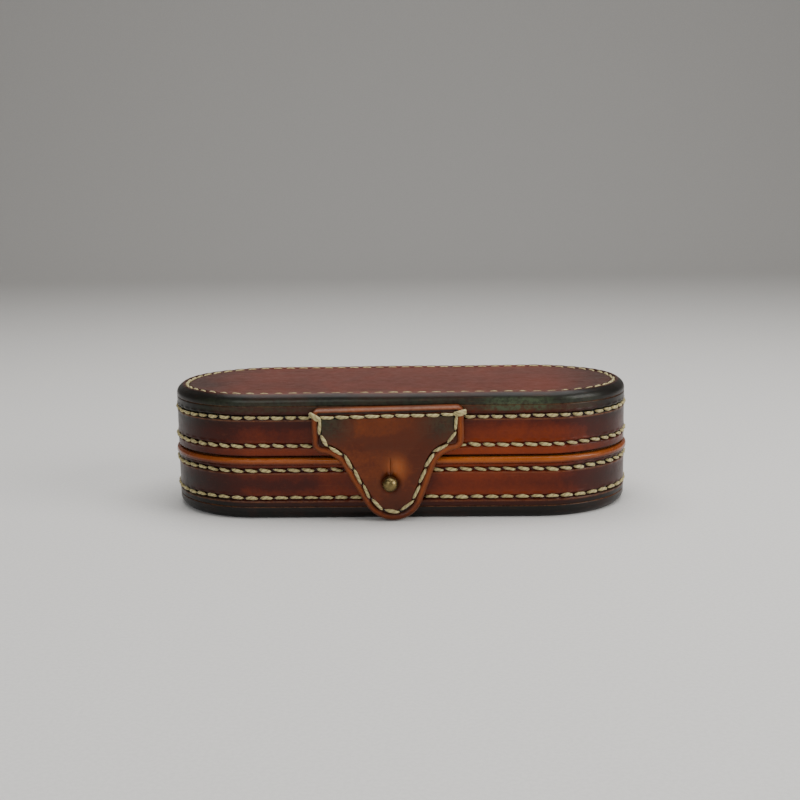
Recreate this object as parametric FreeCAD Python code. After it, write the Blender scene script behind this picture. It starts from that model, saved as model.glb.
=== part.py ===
import FreeCAD, Part

import math
import os

# A hard eyeglasses case of thick moulded leather, sewn by hand: a base tray and a hinged lid of the
# same round-ended outline, held shut by a front flap whose buttonhole snaps over a brass ball stud.
# Millimetres. +X runs along the length, +Z is up, and the front, with its flap, faces -Y.
# The origin is the middle of the footprint, at the height of the surface that the case stands on.

Vector = FreeCAD.Vector
UP = Vector(0, 0, 1)
FRONT = Vector(0, -1, 0)

# Outline. Every wall is an offset of one round-ended outline, so a wall is given by its half-width.
LENGTH = 170.0
WIDTH = 70.0
HEIGHT = 45.0
RIM_OUT = WIDTH / 2
END_X = LENGTH / 2 - RIM_OUT        # centre of each round end
RIM_PROUD = 0.8                     # how far the rim welt stands out of the wall band
BAND_THICK = 2.0
SHELL_THICK = 2.2
LIP_THICK = 1.4
LINING_THICK = 0.8
LIP_PLAY = 0.4                      # gap between the locating lip and the lid around it
WALL_OUT = RIM_OUT - RIM_PROUD
SHELL_OUT = WALL_OUT - BAND_THICK
LIP_OUT = SHELL_OUT - SHELL_THICK
LIP_IN = LIP_OUT - LIP_THICK
BASE_CAVITY = LIP_IN - LINING_THICK
LID_IN = LIP_OUT + LIP_PLAY
LID_CAVITY = LID_IN - LINING_THICK

# Heights
PANEL_THICK = 2.4
FLOOR_THICK = 2.0                   # floor of each inner shell
TOP_SKIRT = 1.6                     # how far the top panel is moulded down around the lid's shell
BOARD_THICK = 1.0
PAD_THICK = 2.0
MOUTH_Z = 22.3                      # top of the base rim
MOUTH_GAP = 0.7
RIM_HEIGHT = 2.4
LIP_RISE = 3.0                      # how far the locating lip reaches into the lid
LID_EDGE_Z = MOUTH_Z + MOUTH_GAP
BOTTOM_SEAM_Z = PANEL_THICK + FLOOR_THICK
TOP_SEAM_Z = HEIGHT - PANEL_THICK - TOP_SKIRT
BASE_FLOOR_Z = BOTTOM_SEAM_Z + BOARD_THICK
LID_SHELL_TOP_Z = HEIGHT - PANEL_THICK
LID_CEILING_Z = LID_SHELL_TOP_Z - FLOOR_THICK
LID_BOARD_Z = LID_CEILING_Z - BOARD_THICK
LIP_TOP_Z = MOUTH_Z + LIP_RISE
LID_LINING_Z = LIP_TOP_Z + MOUTH_GAP
PANEL_ROUND = 3.0                   # rounded outer edge of the top and bottom panels
RIM_ROUND = 1.1
EDGE_ROUND = 0.5
PAD_ROUND = 0.8

# Sewing. Each row of saddle stitches lies half sunk in its groove.
THREAD_R = 0.55
GROOVE_PLAY = 0.05
GROOVE_R = THREAD_R + GROOVE_PLAY
BASE_LOW_ROW_Z = 7.6
BASE_HIGH_ROW_Z = 17.9
LID_LOW_ROW_Z = 26.8
LID_HIGH_ROW_Z = 37.2
PANEL_ROW = WALL_OUT - 4.1          # half-width of the row around each panel
PANEL_ROW_DEPTH = 0.35              # from the top panel's face to the middle of its thread
BOTTOM_ROW_DEPTH = 0.65

# Front flap: outer leather and lining sewn together, standing clear of the wall
FLAP_X = -3.2
FLAP_HALF = 26.8
FLAP_TOP_Z = 40.9
FLAP_OUT = 38.6                     # distance of the flap's face from the middle plane
FLAP_OUTER_THICK = 2.2
FLAP_LINING_THICK = 1.0
FLAP_MID = FLAP_OUT - FLAP_OUTER_THICK
FLAP_IN = FLAP_MID - FLAP_LINING_THICK
FOLD_TOP_Z = 36.6                   # the flap bends between these two heights
FOLD_LOW_Z = 32.6
TIP_Z = 0.4
TIP_R = 11.3
TAPER = math.radians(65)            # slope of the flap's tapering sides
HOLLOW_R = 8.6
SHOULDER_R = 4.0
SHOULDER_Z = 29.0
ROOT_CORNER_R = 2.6
FLAP_ROW_INSET = 2.9
TACK_R = 0.75
TACK_HALF = 2.3
TACK_GAP = 0.4
TACK_SLOPE = math.radians(15)

# Ball stud, its screw and its washer
STUD_X = -2.5
STUD_Z = 14.3
BALL_R = 2.8
BALL_OUT = 41.2                     # distance of the ball's centre from the middle plane
NECK_R = 1.6
FLANGE_R = 2.9
FLANGE_THICK = 0.8
STEM_R = 2.1
SCREW_R = 1.2
SCREW_LENGTH = 4.0
SCREW_HEAD_R = 3.0
SCREW_HEAD_THICK = 0.8
SLOT_WIDTH = 0.8
SLOT_DEPTH = 0.4
WASHER_R = 4.0
WASHER_THICK = 0.6
WASHER_PLAY = 0.05
BUTTONHOLE_R = 2.1
SLIT_WIDTH = 0.4
SLIT_TOP_Z = 23.2

# Hinge strap along the back
STRAP_HALF = 45.0
STRAP_THICK = 2.2
STRAP_LOW_Z = 12.0
STRAP_TOP_Z = 33.0
STRAP_IN = WALL_OUT
STRAP_OUT = WALL_OUT + STRAP_THICK
HINGE_Z = (MOUTH_Z + LID_EDGE_Z) / 2
HINGE_FREE = 2.5                    # each sewn leaf stops this far from the hinge line
STRAP_CORNER_R = 4.0
STRAP_ROW_INSET = 2.8
CUT_MARGIN = 1.0                    # how far a cutting tool runs past what it cuts


def outline(half_width, z):
    """Closed round-ended outline at one height."""
    right = Part.Arc(
        Vector(END_X, -half_width, z), Vector(END_X + half_width, 0, z), Vector(END_X, half_width, z)
    )
    left = Part.Arc(
        Vector(-END_X, half_width, z), Vector(-END_X - half_width, 0, z), Vector(-END_X, -half_width, z)
    )
    back = Part.LineSegment(Vector(END_X, half_width, z), Vector(-END_X, half_width, z))
    front = Part.LineSegment(Vector(-END_X, -half_width, z), Vector(END_X, -half_width, z))
    return Part.Wire([edge.toShape() for edge in (right, back, left, front)])


def slab(half_width, low, high):
    return Part.Face(outline(half_width, low)).extrude(UP * (high - low))


def ring(outer, inner, low, high):
    inside = slab(inner, low - CUT_MARGIN, high + CUT_MARGIN)
    return slab(outer, low, high).cut(inside)


def block(x_low, x_high, y_low, y_high, z_low, z_high):
    corner = Vector(x_low, y_low, z_low)
    return Part.makeBox(x_high - x_low, y_high - y_low, z_high - z_low, corner)


def peg(radius, near, far):
    """Cylinder along the stud's axis, between two distances in front of the middle plane."""
    return Part.makeCylinder(radius, far - near, Vector(STUD_X, -near, STUD_Z), FRONT)


def sweep(path, start, direction, radius):
    """Round bar along a path that starts at a point in the given direction."""
    section = Part.Wire(Part.makeCircle(radius, start, direction))
    return path.makePipeShell([section], True, True)


def row_thread(half_width, z):
    """Thread of one row that runs right round the case."""
    return sweep(outline(half_width, z), Vector(END_X, -half_width, z), Vector(1, 0, 0), THREAD_R)


def row_groove(half_width, z):
    """Square channel in a wall for one row of stitches."""
    return ring(half_width + GROOVE_R, half_width - GROOVE_R, z - GROOVE_R, z + GROOVE_R)


def rounded(shape, radius, chosen):
    """Fillets the edges for which chosen(edge) is true."""
    return shape.makeFillet(radius, [edge for edge in shape.Edges if chosen(edge)])


def lies_at(z, least_half_width):
    """Picks the edges at one height and outside a half-width."""
    def chosen(edge):
        box = edge.BoundBox
        level = abs(box.ZMin - z) < 1e-3 and abs(box.ZMax - z) < 1e-3
        return level and max(abs(box.YMin), abs(box.YMax)) > least_half_width
    return chosen


def runs_back(z):
    """Picks the edges at one height that run straight from front to back."""
    def chosen(edge):
        box = edge.BoundBox
        return abs(box.ZMin - z) < 1e-3 and abs(box.ZMax - z) < 1e-3 and box.YLength > box.XLength
    return chosen


def behind_strap(near):
    """The space that the hinge strap covers, outwards from a distance behind the middle plane."""
    return block(-STRAP_HALF, STRAP_HALF, near, RIM_OUT + CUT_MARGIN, 0, HEIGHT)


def behind_flap():
    """The space that the flap's root covers, outwards from the lid's shell."""
    return block(
        FLAP_X - FLAP_HALF, FLAP_X + FLAP_HALF, -RIM_OUT - CUT_MARGIN, -SHELL_OUT, 0, HEIGHT
    )


# Base -----------------------------------------------------------------------------------------------

def base_shell():
    """Stiff inner tray that the outer leather is sewn around."""
    tray = slab(SHELL_OUT, PANEL_THICK, MOUTH_Z)
    tray = tray.cut(slab(LIP_OUT, BOTTOM_SEAM_Z, MOUTH_Z + CUT_MARGIN))
    return tray.cut(peg(STEM_R, LIP_OUT - CUT_MARGIN, WALL_OUT))


def base_bottom_panel():
    panel = slab(WALL_OUT, 0, BOTTOM_SEAM_Z)
    panel = rounded(panel, PANEL_ROUND, lies_at(0, SHELL_OUT))
    panel = panel.cut(slab(SHELL_OUT, PANEL_THICK, BOTTOM_SEAM_Z + CUT_MARGIN))
    return panel.cut(
        ring(PANEL_ROW + GROOVE_R, PANEL_ROW - GROOVE_R, -CUT_MARGIN, BOTTOM_ROW_DEPTH + GROOVE_R)
    )


def base_wall_band():
    band = ring(WALL_OUT, SHELL_OUT, BOTTOM_SEAM_Z, MOUTH_Z - RIM_HEIGHT)
    for z in (BASE_LOW_ROW_Z, BASE_HIGH_ROW_Z):
        band = band.cut(row_groove(WALL_OUT, z))
    return band.cut(peg(STEM_R, SHELL_OUT - CUT_MARGIN, WALL_OUT + CUT_MARGIN))


def base_rim_welt():
    """Rounded strip around the mouth, cut back where the hinge strap covers it."""
    welt = slab(RIM_OUT, MOUTH_Z - RIM_HEIGHT, MOUTH_Z)
    for z in (MOUTH_Z - RIM_HEIGHT, MOUTH_Z):
        welt = rounded(welt, RIM_ROUND, lies_at(z, SHELL_OUT))
    welt = welt.cut(slab(SHELL_OUT, 0, HEIGHT))
    return welt.cut(behind_strap(STRAP_IN))


def base_locating_lip():
    """Inner ring that stands out of the base and centres the lid. The stud's screw sits in it."""
    lip = slab(LIP_OUT, BASE_FLOOR_Z, LIP_TOP_Z)
    lip = rounded(lip, EDGE_ROUND, lies_at(LIP_TOP_Z, LIP_IN))
    lip = lip.cut(slab(LIP_IN, 0, HEIGHT))
    return lip.cut(peg(WASHER_R + WASHER_PLAY, LIP_IN - CUT_MARGIN, LIP_OUT + CUT_MARGIN))


def base_lining():
    return ring(LIP_IN, BASE_CAVITY, BASE_FLOOR_Z, LIP_TOP_Z)


def base_bottom_board():
    return slab(LIP_OUT, BOTTOM_SEAM_Z, BASE_FLOOR_Z)


def base_pad():
    top = BASE_FLOOR_Z + PAD_THICK
    return rounded(slab(BASE_CAVITY, BASE_FLOOR_Z, top), PAD_ROUND, lies_at(top, 0))


def base_bottom_stitching():
    return row_thread(PANEL_ROW, BOTTOM_ROW_DEPTH)


def base_wall_lower_stitching():
    return row_thread(WALL_OUT, BASE_LOW_ROW_Z)


def base_wall_upper_stitching():
    """Row below the rim, hidden where the hinge strap is sewn over it."""
    return row_thread(WALL_OUT, BASE_HIGH_ROW_Z).cut(behind_strap(SHELL_OUT))


def stud_post():
    stem = peg(STEM_R, LIP_OUT, WALL_OUT)
    flange = peg(FLANGE_R, WALL_OUT, WALL_OUT + FLANGE_THICK)
    neck = peg(NECK_R, WALL_OUT, BALL_OUT)
    ball = Part.makeSphere(BALL_R, Vector(STUD_X, -BALL_OUT, STUD_Z))
    post = stem.fuse([flange, neck, ball]).removeSplitter()
    return post.cut(peg(SCREW_R, LIP_OUT - CUT_MARGIN, LIP_OUT - WASHER_THICK + SCREW_LENGTH))


def stud_washer():
    hole = peg(SCREW_R + WASHER_PLAY, LIP_IN, WALL_OUT)
    return peg(WASHER_R, LIP_OUT - WASHER_THICK, LIP_OUT).cut(hole)


def stud_screw():
    head_face = LIP_OUT - WASHER_THICK - SCREW_HEAD_THICK
    head = peg(SCREW_HEAD_R, head_face, head_face + SCREW_HEAD_THICK)
    shank = peg(SCREW_R, head_face, LIP_OUT - WASHER_THICK + SCREW_LENGTH)
    slot = block(
        STUD_X - SCREW_HEAD_R, STUD_X + SCREW_HEAD_R,
        -head_face - SLOT_DEPTH, -head_face + CUT_MARGIN,
        STUD_Z - SLOT_WIDTH / 2, STUD_Z + SLOT_WIDTH / 2,
    )
    return head.fuse(shank).removeSplitter().cut(slot)


# Lid ------------------------------------------------------------------------------------------------

def lid_shell():
    shell = slab(SHELL_OUT, LID_EDGE_Z, LID_SHELL_TOP_Z)
    return shell.cut(slab(LID_IN, LID_EDGE_Z - CUT_MARGIN, LID_CEILING_Z))


def lid_top_panel():
    panel = slab(WALL_OUT, TOP_SEAM_Z, HEIGHT)
    panel = rounded(panel, PANEL_ROUND, lies_at(HEIGHT, SHELL_OUT))
    panel = panel.cut(slab(SHELL_OUT, TOP_SEAM_Z - CUT_MARGIN, LID_SHELL_TOP_Z))
    groove_floor = HEIGHT - PANEL_ROW_DEPTH - GROOVE_R
    return panel.cut(
        ring(PANEL_ROW + GROOVE_R, PANEL_ROW - GROOVE_R, groove_floor, HEIGHT + CUT_MARGIN)
    )


def lid_wall_band():
    band = slab(WALL_OUT, LID_EDGE_Z, TOP_SEAM_Z)
    band = rounded(band, EDGE_ROUND, lies_at(LID_EDGE_Z, SHELL_OUT))
    band = band.cut(slab(SHELL_OUT, 0, HEIGHT))
    for z in (LID_LOW_ROW_Z, LID_HIGH_ROW_Z):
        band = band.cut(row_groove(WALL_OUT, z))
    return band


def lid_lining():
    return ring(LID_IN, LID_CAVITY, LID_LINING_Z, LID_BOARD_Z)


def lid_top_board():
    return slab(LID_IN, LID_BOARD_Z, LID_CEILING_Z)


def lid_pad():
    low = LID_BOARD_Z - PAD_THICK
    return rounded(slab(LID_CAVITY, low, LID_BOARD_Z), PAD_ROUND, lies_at(low, 0))


def lid_top_stitching():
    return row_thread(PANEL_ROW, HEIGHT - PANEL_ROW_DEPTH)


def lid_wall_lower_stitching():
    """Row above the lid's edge, hidden where the hinge strap is sewn over it."""
    return row_thread(WALL_OUT, LID_LOW_ROW_Z).cut(behind_strap(SHELL_OUT))


def lid_wall_upper_stitching():
    """Row below the top seam, hidden behind the flap's root."""
    return row_thread(WALL_OUT, LID_HIGH_ROW_Z).cut(behind_flap())


# Flap -----------------------------------------------------------------------------------------------

def flap_point(x, distance, z):
    return Vector(FLAP_X + x, -distance, z)


def bend(centre, radius, start, end, side, distance):
    """Arc of the flap's edge, from one angle to another, on the right (side 1) or left (-1)."""
    points = [
        flap_point(
            side * (centre[0] + radius * math.cos(angle)), distance, centre[1] + radius * math.sin(angle)
        )
        for angle in (start, (start + end) / 2, end)
    ]
    return Part.Arc(*points).toShape()


def hollow_centre():
    """Centre of the arc that joins the shoulder to the taper, touching both."""
    reach = TIP_R + HOLLOW_R
    along = (math.cos(TAPER), math.sin(TAPER))
    across = (math.sin(TAPER), -math.cos(TAPER))
    start = (reach * across[0], TIP_Z + TIP_R + reach * across[1])
    gap = (start[0] - FLAP_HALF + SHOULDER_R, start[1] - SHOULDER_Z)
    half = gap[0] * along[0] + gap[1] * along[1]
    rest = gap[0] ** 2 + gap[1] ** 2 - (HOLLOW_R + SHOULDER_R) ** 2
    step = -half - math.sqrt(half ** 2 - rest)
    return start[0] + step * along[0], start[1] + step * along[1]


def flap_edge(inset, distance, top):
    """The flap's sides, shoulders, hollows, tapers and tip, set in from its edge, as one open wire."""
    tip = (0, TIP_Z + TIP_R)
    hollow = hollow_centre()
    shoulder = (FLAP_HALF - SHOULDER_R, SHOULDER_Z)
    turn = math.atan2(shoulder[1] - hollow[1], shoulder[0] - hollow[0])
    tip_angle = TAPER - math.pi / 2
    pieces = [bend(tip, TIP_R - inset, tip_angle, -math.pi - tip_angle, 1, distance)]
    for side in (1, -1):
        side_low = flap_point(side * (FLAP_HALF - inset), distance, SHOULDER_Z)
        side_top = flap_point(side * (FLAP_HALF - inset), distance, top)
        pieces.append(Part.LineSegment(side_top, side_low).toShape())
        pieces.append(bend(shoulder, SHOULDER_R - inset, 0, turn - math.pi, side, distance))
        hollow_bend = bend(hollow, HOLLOW_R + inset, turn, TAPER + math.pi / 2, side, distance)
        pieces.append(hollow_bend)
        taper_low = flap_point(
            side * (TIP_R - inset) * math.cos(tip_angle),
            distance,
            tip[1] + (TIP_R - inset) * math.sin(tip_angle),
        )
        pieces.append(Part.LineSegment(hollow_bend.valueAt(hollow_bend.LastParameter), taper_low).toShape())
    return Part.Wire(Part.__sortEdges__(pieces))


def flap_sheet(inset, near, far, top=FOLD_LOW_Z):
    """The hanging part of the flap between two distances from the middle plane."""
    edge = flap_edge(inset, near, top)
    lid = Part.LineSegment(
        flap_point(inset - FLAP_HALF, near, top), flap_point(FLAP_HALF - inset, near, top)
    )
    wire = Part.Wire(Part.__sortEdges__(edge.Edges + [lid.toShape()]))
    return Part.Face(wire).extrude(FRONT * (far - near))


def buttonhole():
    """Round hole for the stud's neck, with the slit above it that lets the ball through."""
    slit = block(
        STUD_X - SLIT_WIDTH / 2, STUD_X + SLIT_WIDTH / 2,
        -FLAP_OUT - CUT_MARGIN, -RIM_OUT, STUD_Z, SLIT_TOP_Z,
    )
    return peg(BUTTONHOLE_R, RIM_OUT, FLAP_OUT + CUT_MARGIN).fuse(slit)


def flap_outer():
    far = FLAP_OUT + CUT_MARGIN
    floor = FLAP_OUT - GROOVE_R
    groove = flap_sheet(FLAP_ROW_INSET - GROOVE_R, floor, far, FOLD_LOW_Z + CUT_MARGIN)
    groove = groove.cut(flap_sheet(FLAP_ROW_INSET + GROOVE_R, floor, far, FOLD_LOW_Z + CUT_MARGIN))
    return flap_sheet(0, FLAP_MID, FLAP_OUT).cut(groove).cut(buttonhole())


def flap_lining():
    return flap_sheet(0, FLAP_IN, FLAP_MID).cut(buttonhole())


def flap_edge_stitching():
    path = flap_edge(FLAP_ROW_INSET, FLAP_OUT, FOLD_LOW_Z)
    start = flap_point(FLAP_HALF - FLAP_ROW_INSET, FLAP_OUT, FOLD_LOW_Z)
    return sweep(path, start, UP, THREAD_R)


def tack(side, radius, half):
    """Thick slanting stitch across one upper corner of the flap's seam."""
    centre = flap_point(side * (FLAP_HALF - FLAP_ROW_INSET), FLAP_OUT, FLAP_TOP_Z - FLAP_ROW_INSET)
    along = Vector(side * math.cos(TACK_SLOPE), 0, math.sin(TACK_SLOPE))
    return Part.makeCylinder(radius, 2 * half, centre - along * half, along)


def flap_bar_tacks():
    return Part.Compound([tack(side, TACK_R, TACK_HALF) for side in (-1, 1)])


def root_row(radius, extra):
    """Straight row of stitches that holds the flap to the lid, between the two tacks."""
    half = FLAP_HALF - FLAP_ROW_INSET - TACK_HALF - TACK_GAP + extra
    start = flap_point(-half, FLAP_OUT, FLAP_TOP_Z - FLAP_ROW_INSET)
    return Part.makeCylinder(radius, 2 * half, start, Vector(1, 0, 0))


def root_block(near, far):
    root = block(
        FLAP_X - FLAP_HALF, FLAP_X + FLAP_HALF, -far, -near, FOLD_TOP_Z, FLAP_TOP_Z
    )
    return rounded(root, ROOT_CORNER_R, runs_back(FLAP_TOP_Z))


def flap_root_outer():
    """The outer leather where the flap is sewn to the lid."""
    root = root_block(FLAP_MID, FLAP_OUT).cut(root_row(GROOVE_R, GROOVE_PLAY))
    for side in (-1, 1):
        root = root.cut(tack(side, TACK_R + GROOVE_PLAY, TACK_HALF + GROOVE_PLAY))
    return root


def flap_root_filler():
    """Lining and spacer that hold the flap clear of the rim."""
    return root_block(WALL_OUT, FLAP_MID)


def flap_root_stitching():
    return root_row(THREAD_R, 0)


def flap_fold():
    """The short stretch of both leathers that bends when the flap is lifted."""
    return block(FLAP_X - FLAP_HALF, FLAP_X + FLAP_HALF, -FLAP_OUT, -FLAP_IN, FOLD_LOW_Z, FOLD_TOP_Z)


# Hinge strap ----------------------------------------------------------------------------------------

def strap_leaf(edge_z, fold_z):
    """Sewn part of the strap between its outer edge and the fold."""
    low, high = sorted((edge_z, fold_z))
    leaf = block(-STRAP_HALF, STRAP_HALF, STRAP_IN, STRAP_OUT, low, high)
    leaf = rounded(leaf, STRAP_CORNER_R, runs_back(edge_z))
    return leaf.cut(strap_seam(edge_z, fold_z, GROOVE_R))


def strap_seam(edge_z, fold_z, radius):
    """U-shaped seam inside the edge of one leaf, open towards the fold."""
    inward = math.copysign(1, fold_z - edge_z)
    x = STRAP_HALF - STRAP_ROW_INSET
    corner_r = STRAP_CORNER_R - STRAP_ROW_INSET
    row_z = edge_z + inward * STRAP_ROW_INSET
    diagonal = corner_r * (1 - math.sqrt(0.5))
    pieces = [
        Part.LineSegment(
            Vector(corner_r - x, STRAP_OUT, row_z), Vector(x - corner_r, STRAP_OUT, row_z)
        ).toShape()
    ]
    for side in (-1, 1):
        corner = Part.Arc(
            Vector(side * (x - corner_r), STRAP_OUT, row_z),
            Vector(side * (x - diagonal), STRAP_OUT, row_z + inward * diagonal),
            Vector(side * x, STRAP_OUT, row_z + inward * corner_r),
        )
        leg = Part.LineSegment(
            Vector(side * x, STRAP_OUT, row_z + inward * corner_r), Vector(side * x, STRAP_OUT, fold_z)
        )
        pieces += [corner.toShape(), leg.toShape()]
    path = Part.Wire(Part.__sortEdges__(pieces))
    return sweep(path, Vector(-x, STRAP_OUT, fold_z), UP, radius)


def hinge_leaf_base():
    return strap_leaf(STRAP_LOW_Z, HINGE_Z - HINGE_FREE)


def hinge_leaf_lid():
    return strap_leaf(STRAP_TOP_Z, HINGE_Z + HINGE_FREE)


def hinge_stitching_base():
    return strap_seam(STRAP_LOW_Z, HINGE_Z - HINGE_FREE, THREAD_R)


def hinge_stitching_lid():
    return strap_seam(STRAP_TOP_Z, HINGE_Z + HINGE_FREE, THREAD_R)


def hinge_fold():
    """Free stretch of the strap that bends as the lid opens."""
    return block(
        -STRAP_HALF, STRAP_HALF, STRAP_IN, STRAP_OUT, HINGE_Z - HINGE_FREE, HINGE_Z + HINGE_FREE
    )


PIECES = (
    base_shell, base_bottom_panel, base_wall_band, base_rim_welt, base_locating_lip, base_lining,
    base_bottom_board, base_pad, base_bottom_stitching, base_wall_lower_stitching,
    base_wall_upper_stitching, stud_post, stud_washer, stud_screw,
    lid_shell, lid_top_panel, lid_wall_band, lid_lining, lid_top_board, lid_pad,
    lid_top_stitching, lid_wall_lower_stitching, lid_wall_upper_stitching,
    flap_root_outer, flap_root_filler, flap_root_stitching, flap_bar_tacks, flap_fold,
    flap_outer, flap_lining, flap_edge_stitching,
    hinge_leaf_base, hinge_leaf_lid, hinge_stitching_base, hinge_stitching_lid, hinge_fold,
)


def main():
    os.makedirs("parts", exist_ok=True)
    for piece in PIECES:
        shape = piece()
        solids = shape.Solids
        if not solids or not shape.isValid():
            raise ValueError(f"{piece.__name__} is not a valid solid")
        whole = solids[0] if len(solids) == 1 else Part.Compound(solids)
        whole.exportStep(f"parts/{piece.__name__}.step")
        print(f"{piece.__name__}: {len(solids)} solid(s), {whole.Volume:.0f} mm3")


main()
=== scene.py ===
import math
from dataclasses import dataclass

import bmesh
import bpy
import numpy as np
from bpy.props import FloatProperty, FloatVectorProperty, IntProperty, PointerProperty
from mathutils import Matrix, Vector


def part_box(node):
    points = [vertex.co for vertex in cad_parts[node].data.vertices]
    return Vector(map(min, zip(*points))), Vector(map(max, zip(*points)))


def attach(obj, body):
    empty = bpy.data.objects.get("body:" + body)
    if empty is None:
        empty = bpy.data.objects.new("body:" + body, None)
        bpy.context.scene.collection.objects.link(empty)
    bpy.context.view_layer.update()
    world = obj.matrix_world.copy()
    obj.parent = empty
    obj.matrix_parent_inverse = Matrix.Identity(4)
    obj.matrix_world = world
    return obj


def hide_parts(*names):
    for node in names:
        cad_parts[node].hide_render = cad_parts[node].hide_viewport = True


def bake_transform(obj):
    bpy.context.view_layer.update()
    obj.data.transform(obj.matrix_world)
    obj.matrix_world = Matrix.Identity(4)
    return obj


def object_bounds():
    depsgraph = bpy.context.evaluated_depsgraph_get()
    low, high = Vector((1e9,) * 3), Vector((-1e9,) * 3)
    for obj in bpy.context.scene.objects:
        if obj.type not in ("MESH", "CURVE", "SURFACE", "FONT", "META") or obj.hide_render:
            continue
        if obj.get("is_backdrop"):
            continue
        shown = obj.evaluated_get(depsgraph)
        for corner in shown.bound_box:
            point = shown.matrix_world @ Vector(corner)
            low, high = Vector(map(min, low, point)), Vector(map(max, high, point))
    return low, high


bl_info = {
    "name": "Leather eyeglasses case",
    "version": (1, 0, 0),
    "blender": (4, 5, 0),
    "location": "3D View > Sidebar > Case",
    "description": "Builds the looks of a hand-sewn leather eyeglasses case around its fixed frame",
    "category": "Add Mesh",
}

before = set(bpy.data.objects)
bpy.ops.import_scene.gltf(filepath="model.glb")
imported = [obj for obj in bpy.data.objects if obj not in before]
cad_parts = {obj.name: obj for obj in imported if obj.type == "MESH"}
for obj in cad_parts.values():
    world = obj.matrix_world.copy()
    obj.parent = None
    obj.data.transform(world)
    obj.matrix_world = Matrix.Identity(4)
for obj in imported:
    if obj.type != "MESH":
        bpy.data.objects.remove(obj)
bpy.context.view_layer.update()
MM = 0.001


def low(node):
    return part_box(node)[0]


def high(node):
    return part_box(node)[1]


def middle(node):
    return (low(node) + high(node)) / 2


# The case's own sizes, read from the frame
WALL = high("lid_wall_band").y                      # half-width over the wall bands
END = high("lid_wall_band").x - WALL                # centre of each round end
SHELL = high("lid_shell").y                         # half-width over the inner shells
RIM = high("base_rim_welt").y
TOP = high("lid_top_panel").z
TOP_SEAM = low("lid_top_panel").z
LID_EDGE = low("lid_wall_band").z
MOUTH = high("base_rim_welt").z
RIM_LOW = low("base_rim_welt").z
BOTTOM_SEAM = high("base_bottom_panel").z
THREAD = (high("lid_wall_upper_stitching").z - low("lid_wall_upper_stitching").z) / 2
PANEL_ROW = high("lid_top_stitching").y - THREAD    # half-width of the row around each panel
FLAP_X = middle("flap_outer").x
FLAP_HALF = high("flap_outer").x - FLAP_X
FLAP_TOP = high("flap_root_outer").z
FLAP_LOW = low("flap_outer").z
FLAP_FACE = low("flap_outer").y
FLAP_BACK = high("flap_lining").y
FLAP_ROW_Z = middle("flap_root_stitching").z
FOLD_TOP = high("flap_fold").z
STUD = middle("stud_washer")
BALL_RADIUS = 2.8 * MM
BALL_Y = low("stud_post").y + BALL_RADIUS
STRAP_HALF = high("hinge_leaf_base").x
STRAP_IN = low("hinge_leaf_base").y
STRAP_OUT = high("hinge_leaf_base").y
STRAP_LOW = low("hinge_leaf_base").z
STRAP_TOP = high("hinge_leaf_lid").z

# Mesh fineness
STRAIGHT_COLUMNS = 250
END_COLUMNS = 270


# Arrays ---------------------------------------------------------------------------------------------

def smooth(value, start, end):
    """Eases from 0 at start to 1 at end: t squared times (3 minus 2 t)."""
    t = np.clip((value - start) / (end - start), 0, 1)
    return t * t * (3 - 2 * t)


def hill(value, centre, width):
    """Bell curve of height 1."""
    return np.exp(-(((value - centre) / width) ** 2))


def ripple(turn, seed, waves=(3, 7, 11, 17)):
    """Slow unevenness round the case, about -1 to 1: sines with whole numbers of waves to the turn."""
    draw = np.random.default_rng(seed)
    total = sum(np.sin(2 * np.pi * (wave * turn + draw.random())) for wave in waves)
    return total / math.sqrt(len(waves))


def track():
    """Spine point and outward direction of each column round the case.

    The two straights run on the line between the end centres and the two half turns stay on one
    centre, so spine + half_width * outward is the round-ended outline of any half-width.
    """
    go = np.arange(STRAIGHT_COLUMNS) / STRAIGHT_COLUMNS
    turn = np.arange(END_COLUMNS) / END_COLUMNS * np.pi
    spine = np.concatenate([
        END * (2 * go - 1), np.full(END_COLUMNS, END), END * (1 - 2 * go), np.full(END_COLUMNS, -END)
    ])
    facing = np.concatenate([
        np.full(STRAIGHT_COLUMNS, -np.pi / 2), turn - np.pi / 2,
        np.full(STRAIGHT_COLUMNS, np.pi / 2), turn + np.pi / 2,
    ])
    return spine, np.cos(facing), np.sin(facing)


SPINE, OUT_X, OUT_Y = track()


def around(half_width):
    """Length along the outline at each column, and the whole way round."""
    straight = 2 * END / STRAIGHT_COLUMNS
    bend = np.pi * half_width / END_COLUMNS
    steps = np.concatenate([
        np.full(STRAIGHT_COLUMNS, straight), np.full(END_COLUMNS, bend),
        np.full(STRAIGHT_COLUMNS, straight), np.full(END_COLUMNS, bend),
    ])
    return np.cumsum(steps) - steps, steps.sum()


def on_outline(half_width, length):
    """Point, direction of travel and outward direction at lengths along one outline."""
    straight, bend = 2 * END, np.pi * half_width
    whole = 2 * (straight + bend)
    at = np.mod(length, whole)
    second = at >= whole / 2
    at = np.where(second, at - whole / 2, at)
    on_bend = at > straight
    facing = np.where(on_bend, (at - straight) / half_width, 0) - np.pi / 2
    spine = np.where(on_bend, END, at - END)
    sign = np.where(second, -1.0, 1.0)
    out = np.stack([np.cos(facing) * sign, np.sin(facing) * sign, 0 * at], -1)
    point = np.stack([spine * sign, 0 * at, 0 * at], -1) + half_width * out
    return point, np.stack([-out[:, 1], out[:, 0], 0 * at], -1), out


TURN = around(WALL)[0] / around(WALL)[1]


def carried(half, z):
    """Carries a profile round the case: row i, column j stands half[i, j] out from the spine at z[i, j]."""
    half, z = np.broadcast_arrays(half, z)
    if half.shape[1] == 1:
        half, z = (np.repeat(a, len(SPINE), axis=1) for a in (half, z))
    return np.stack([SPINE + half * OUT_X, half * OUT_Y, z], -1)


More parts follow.
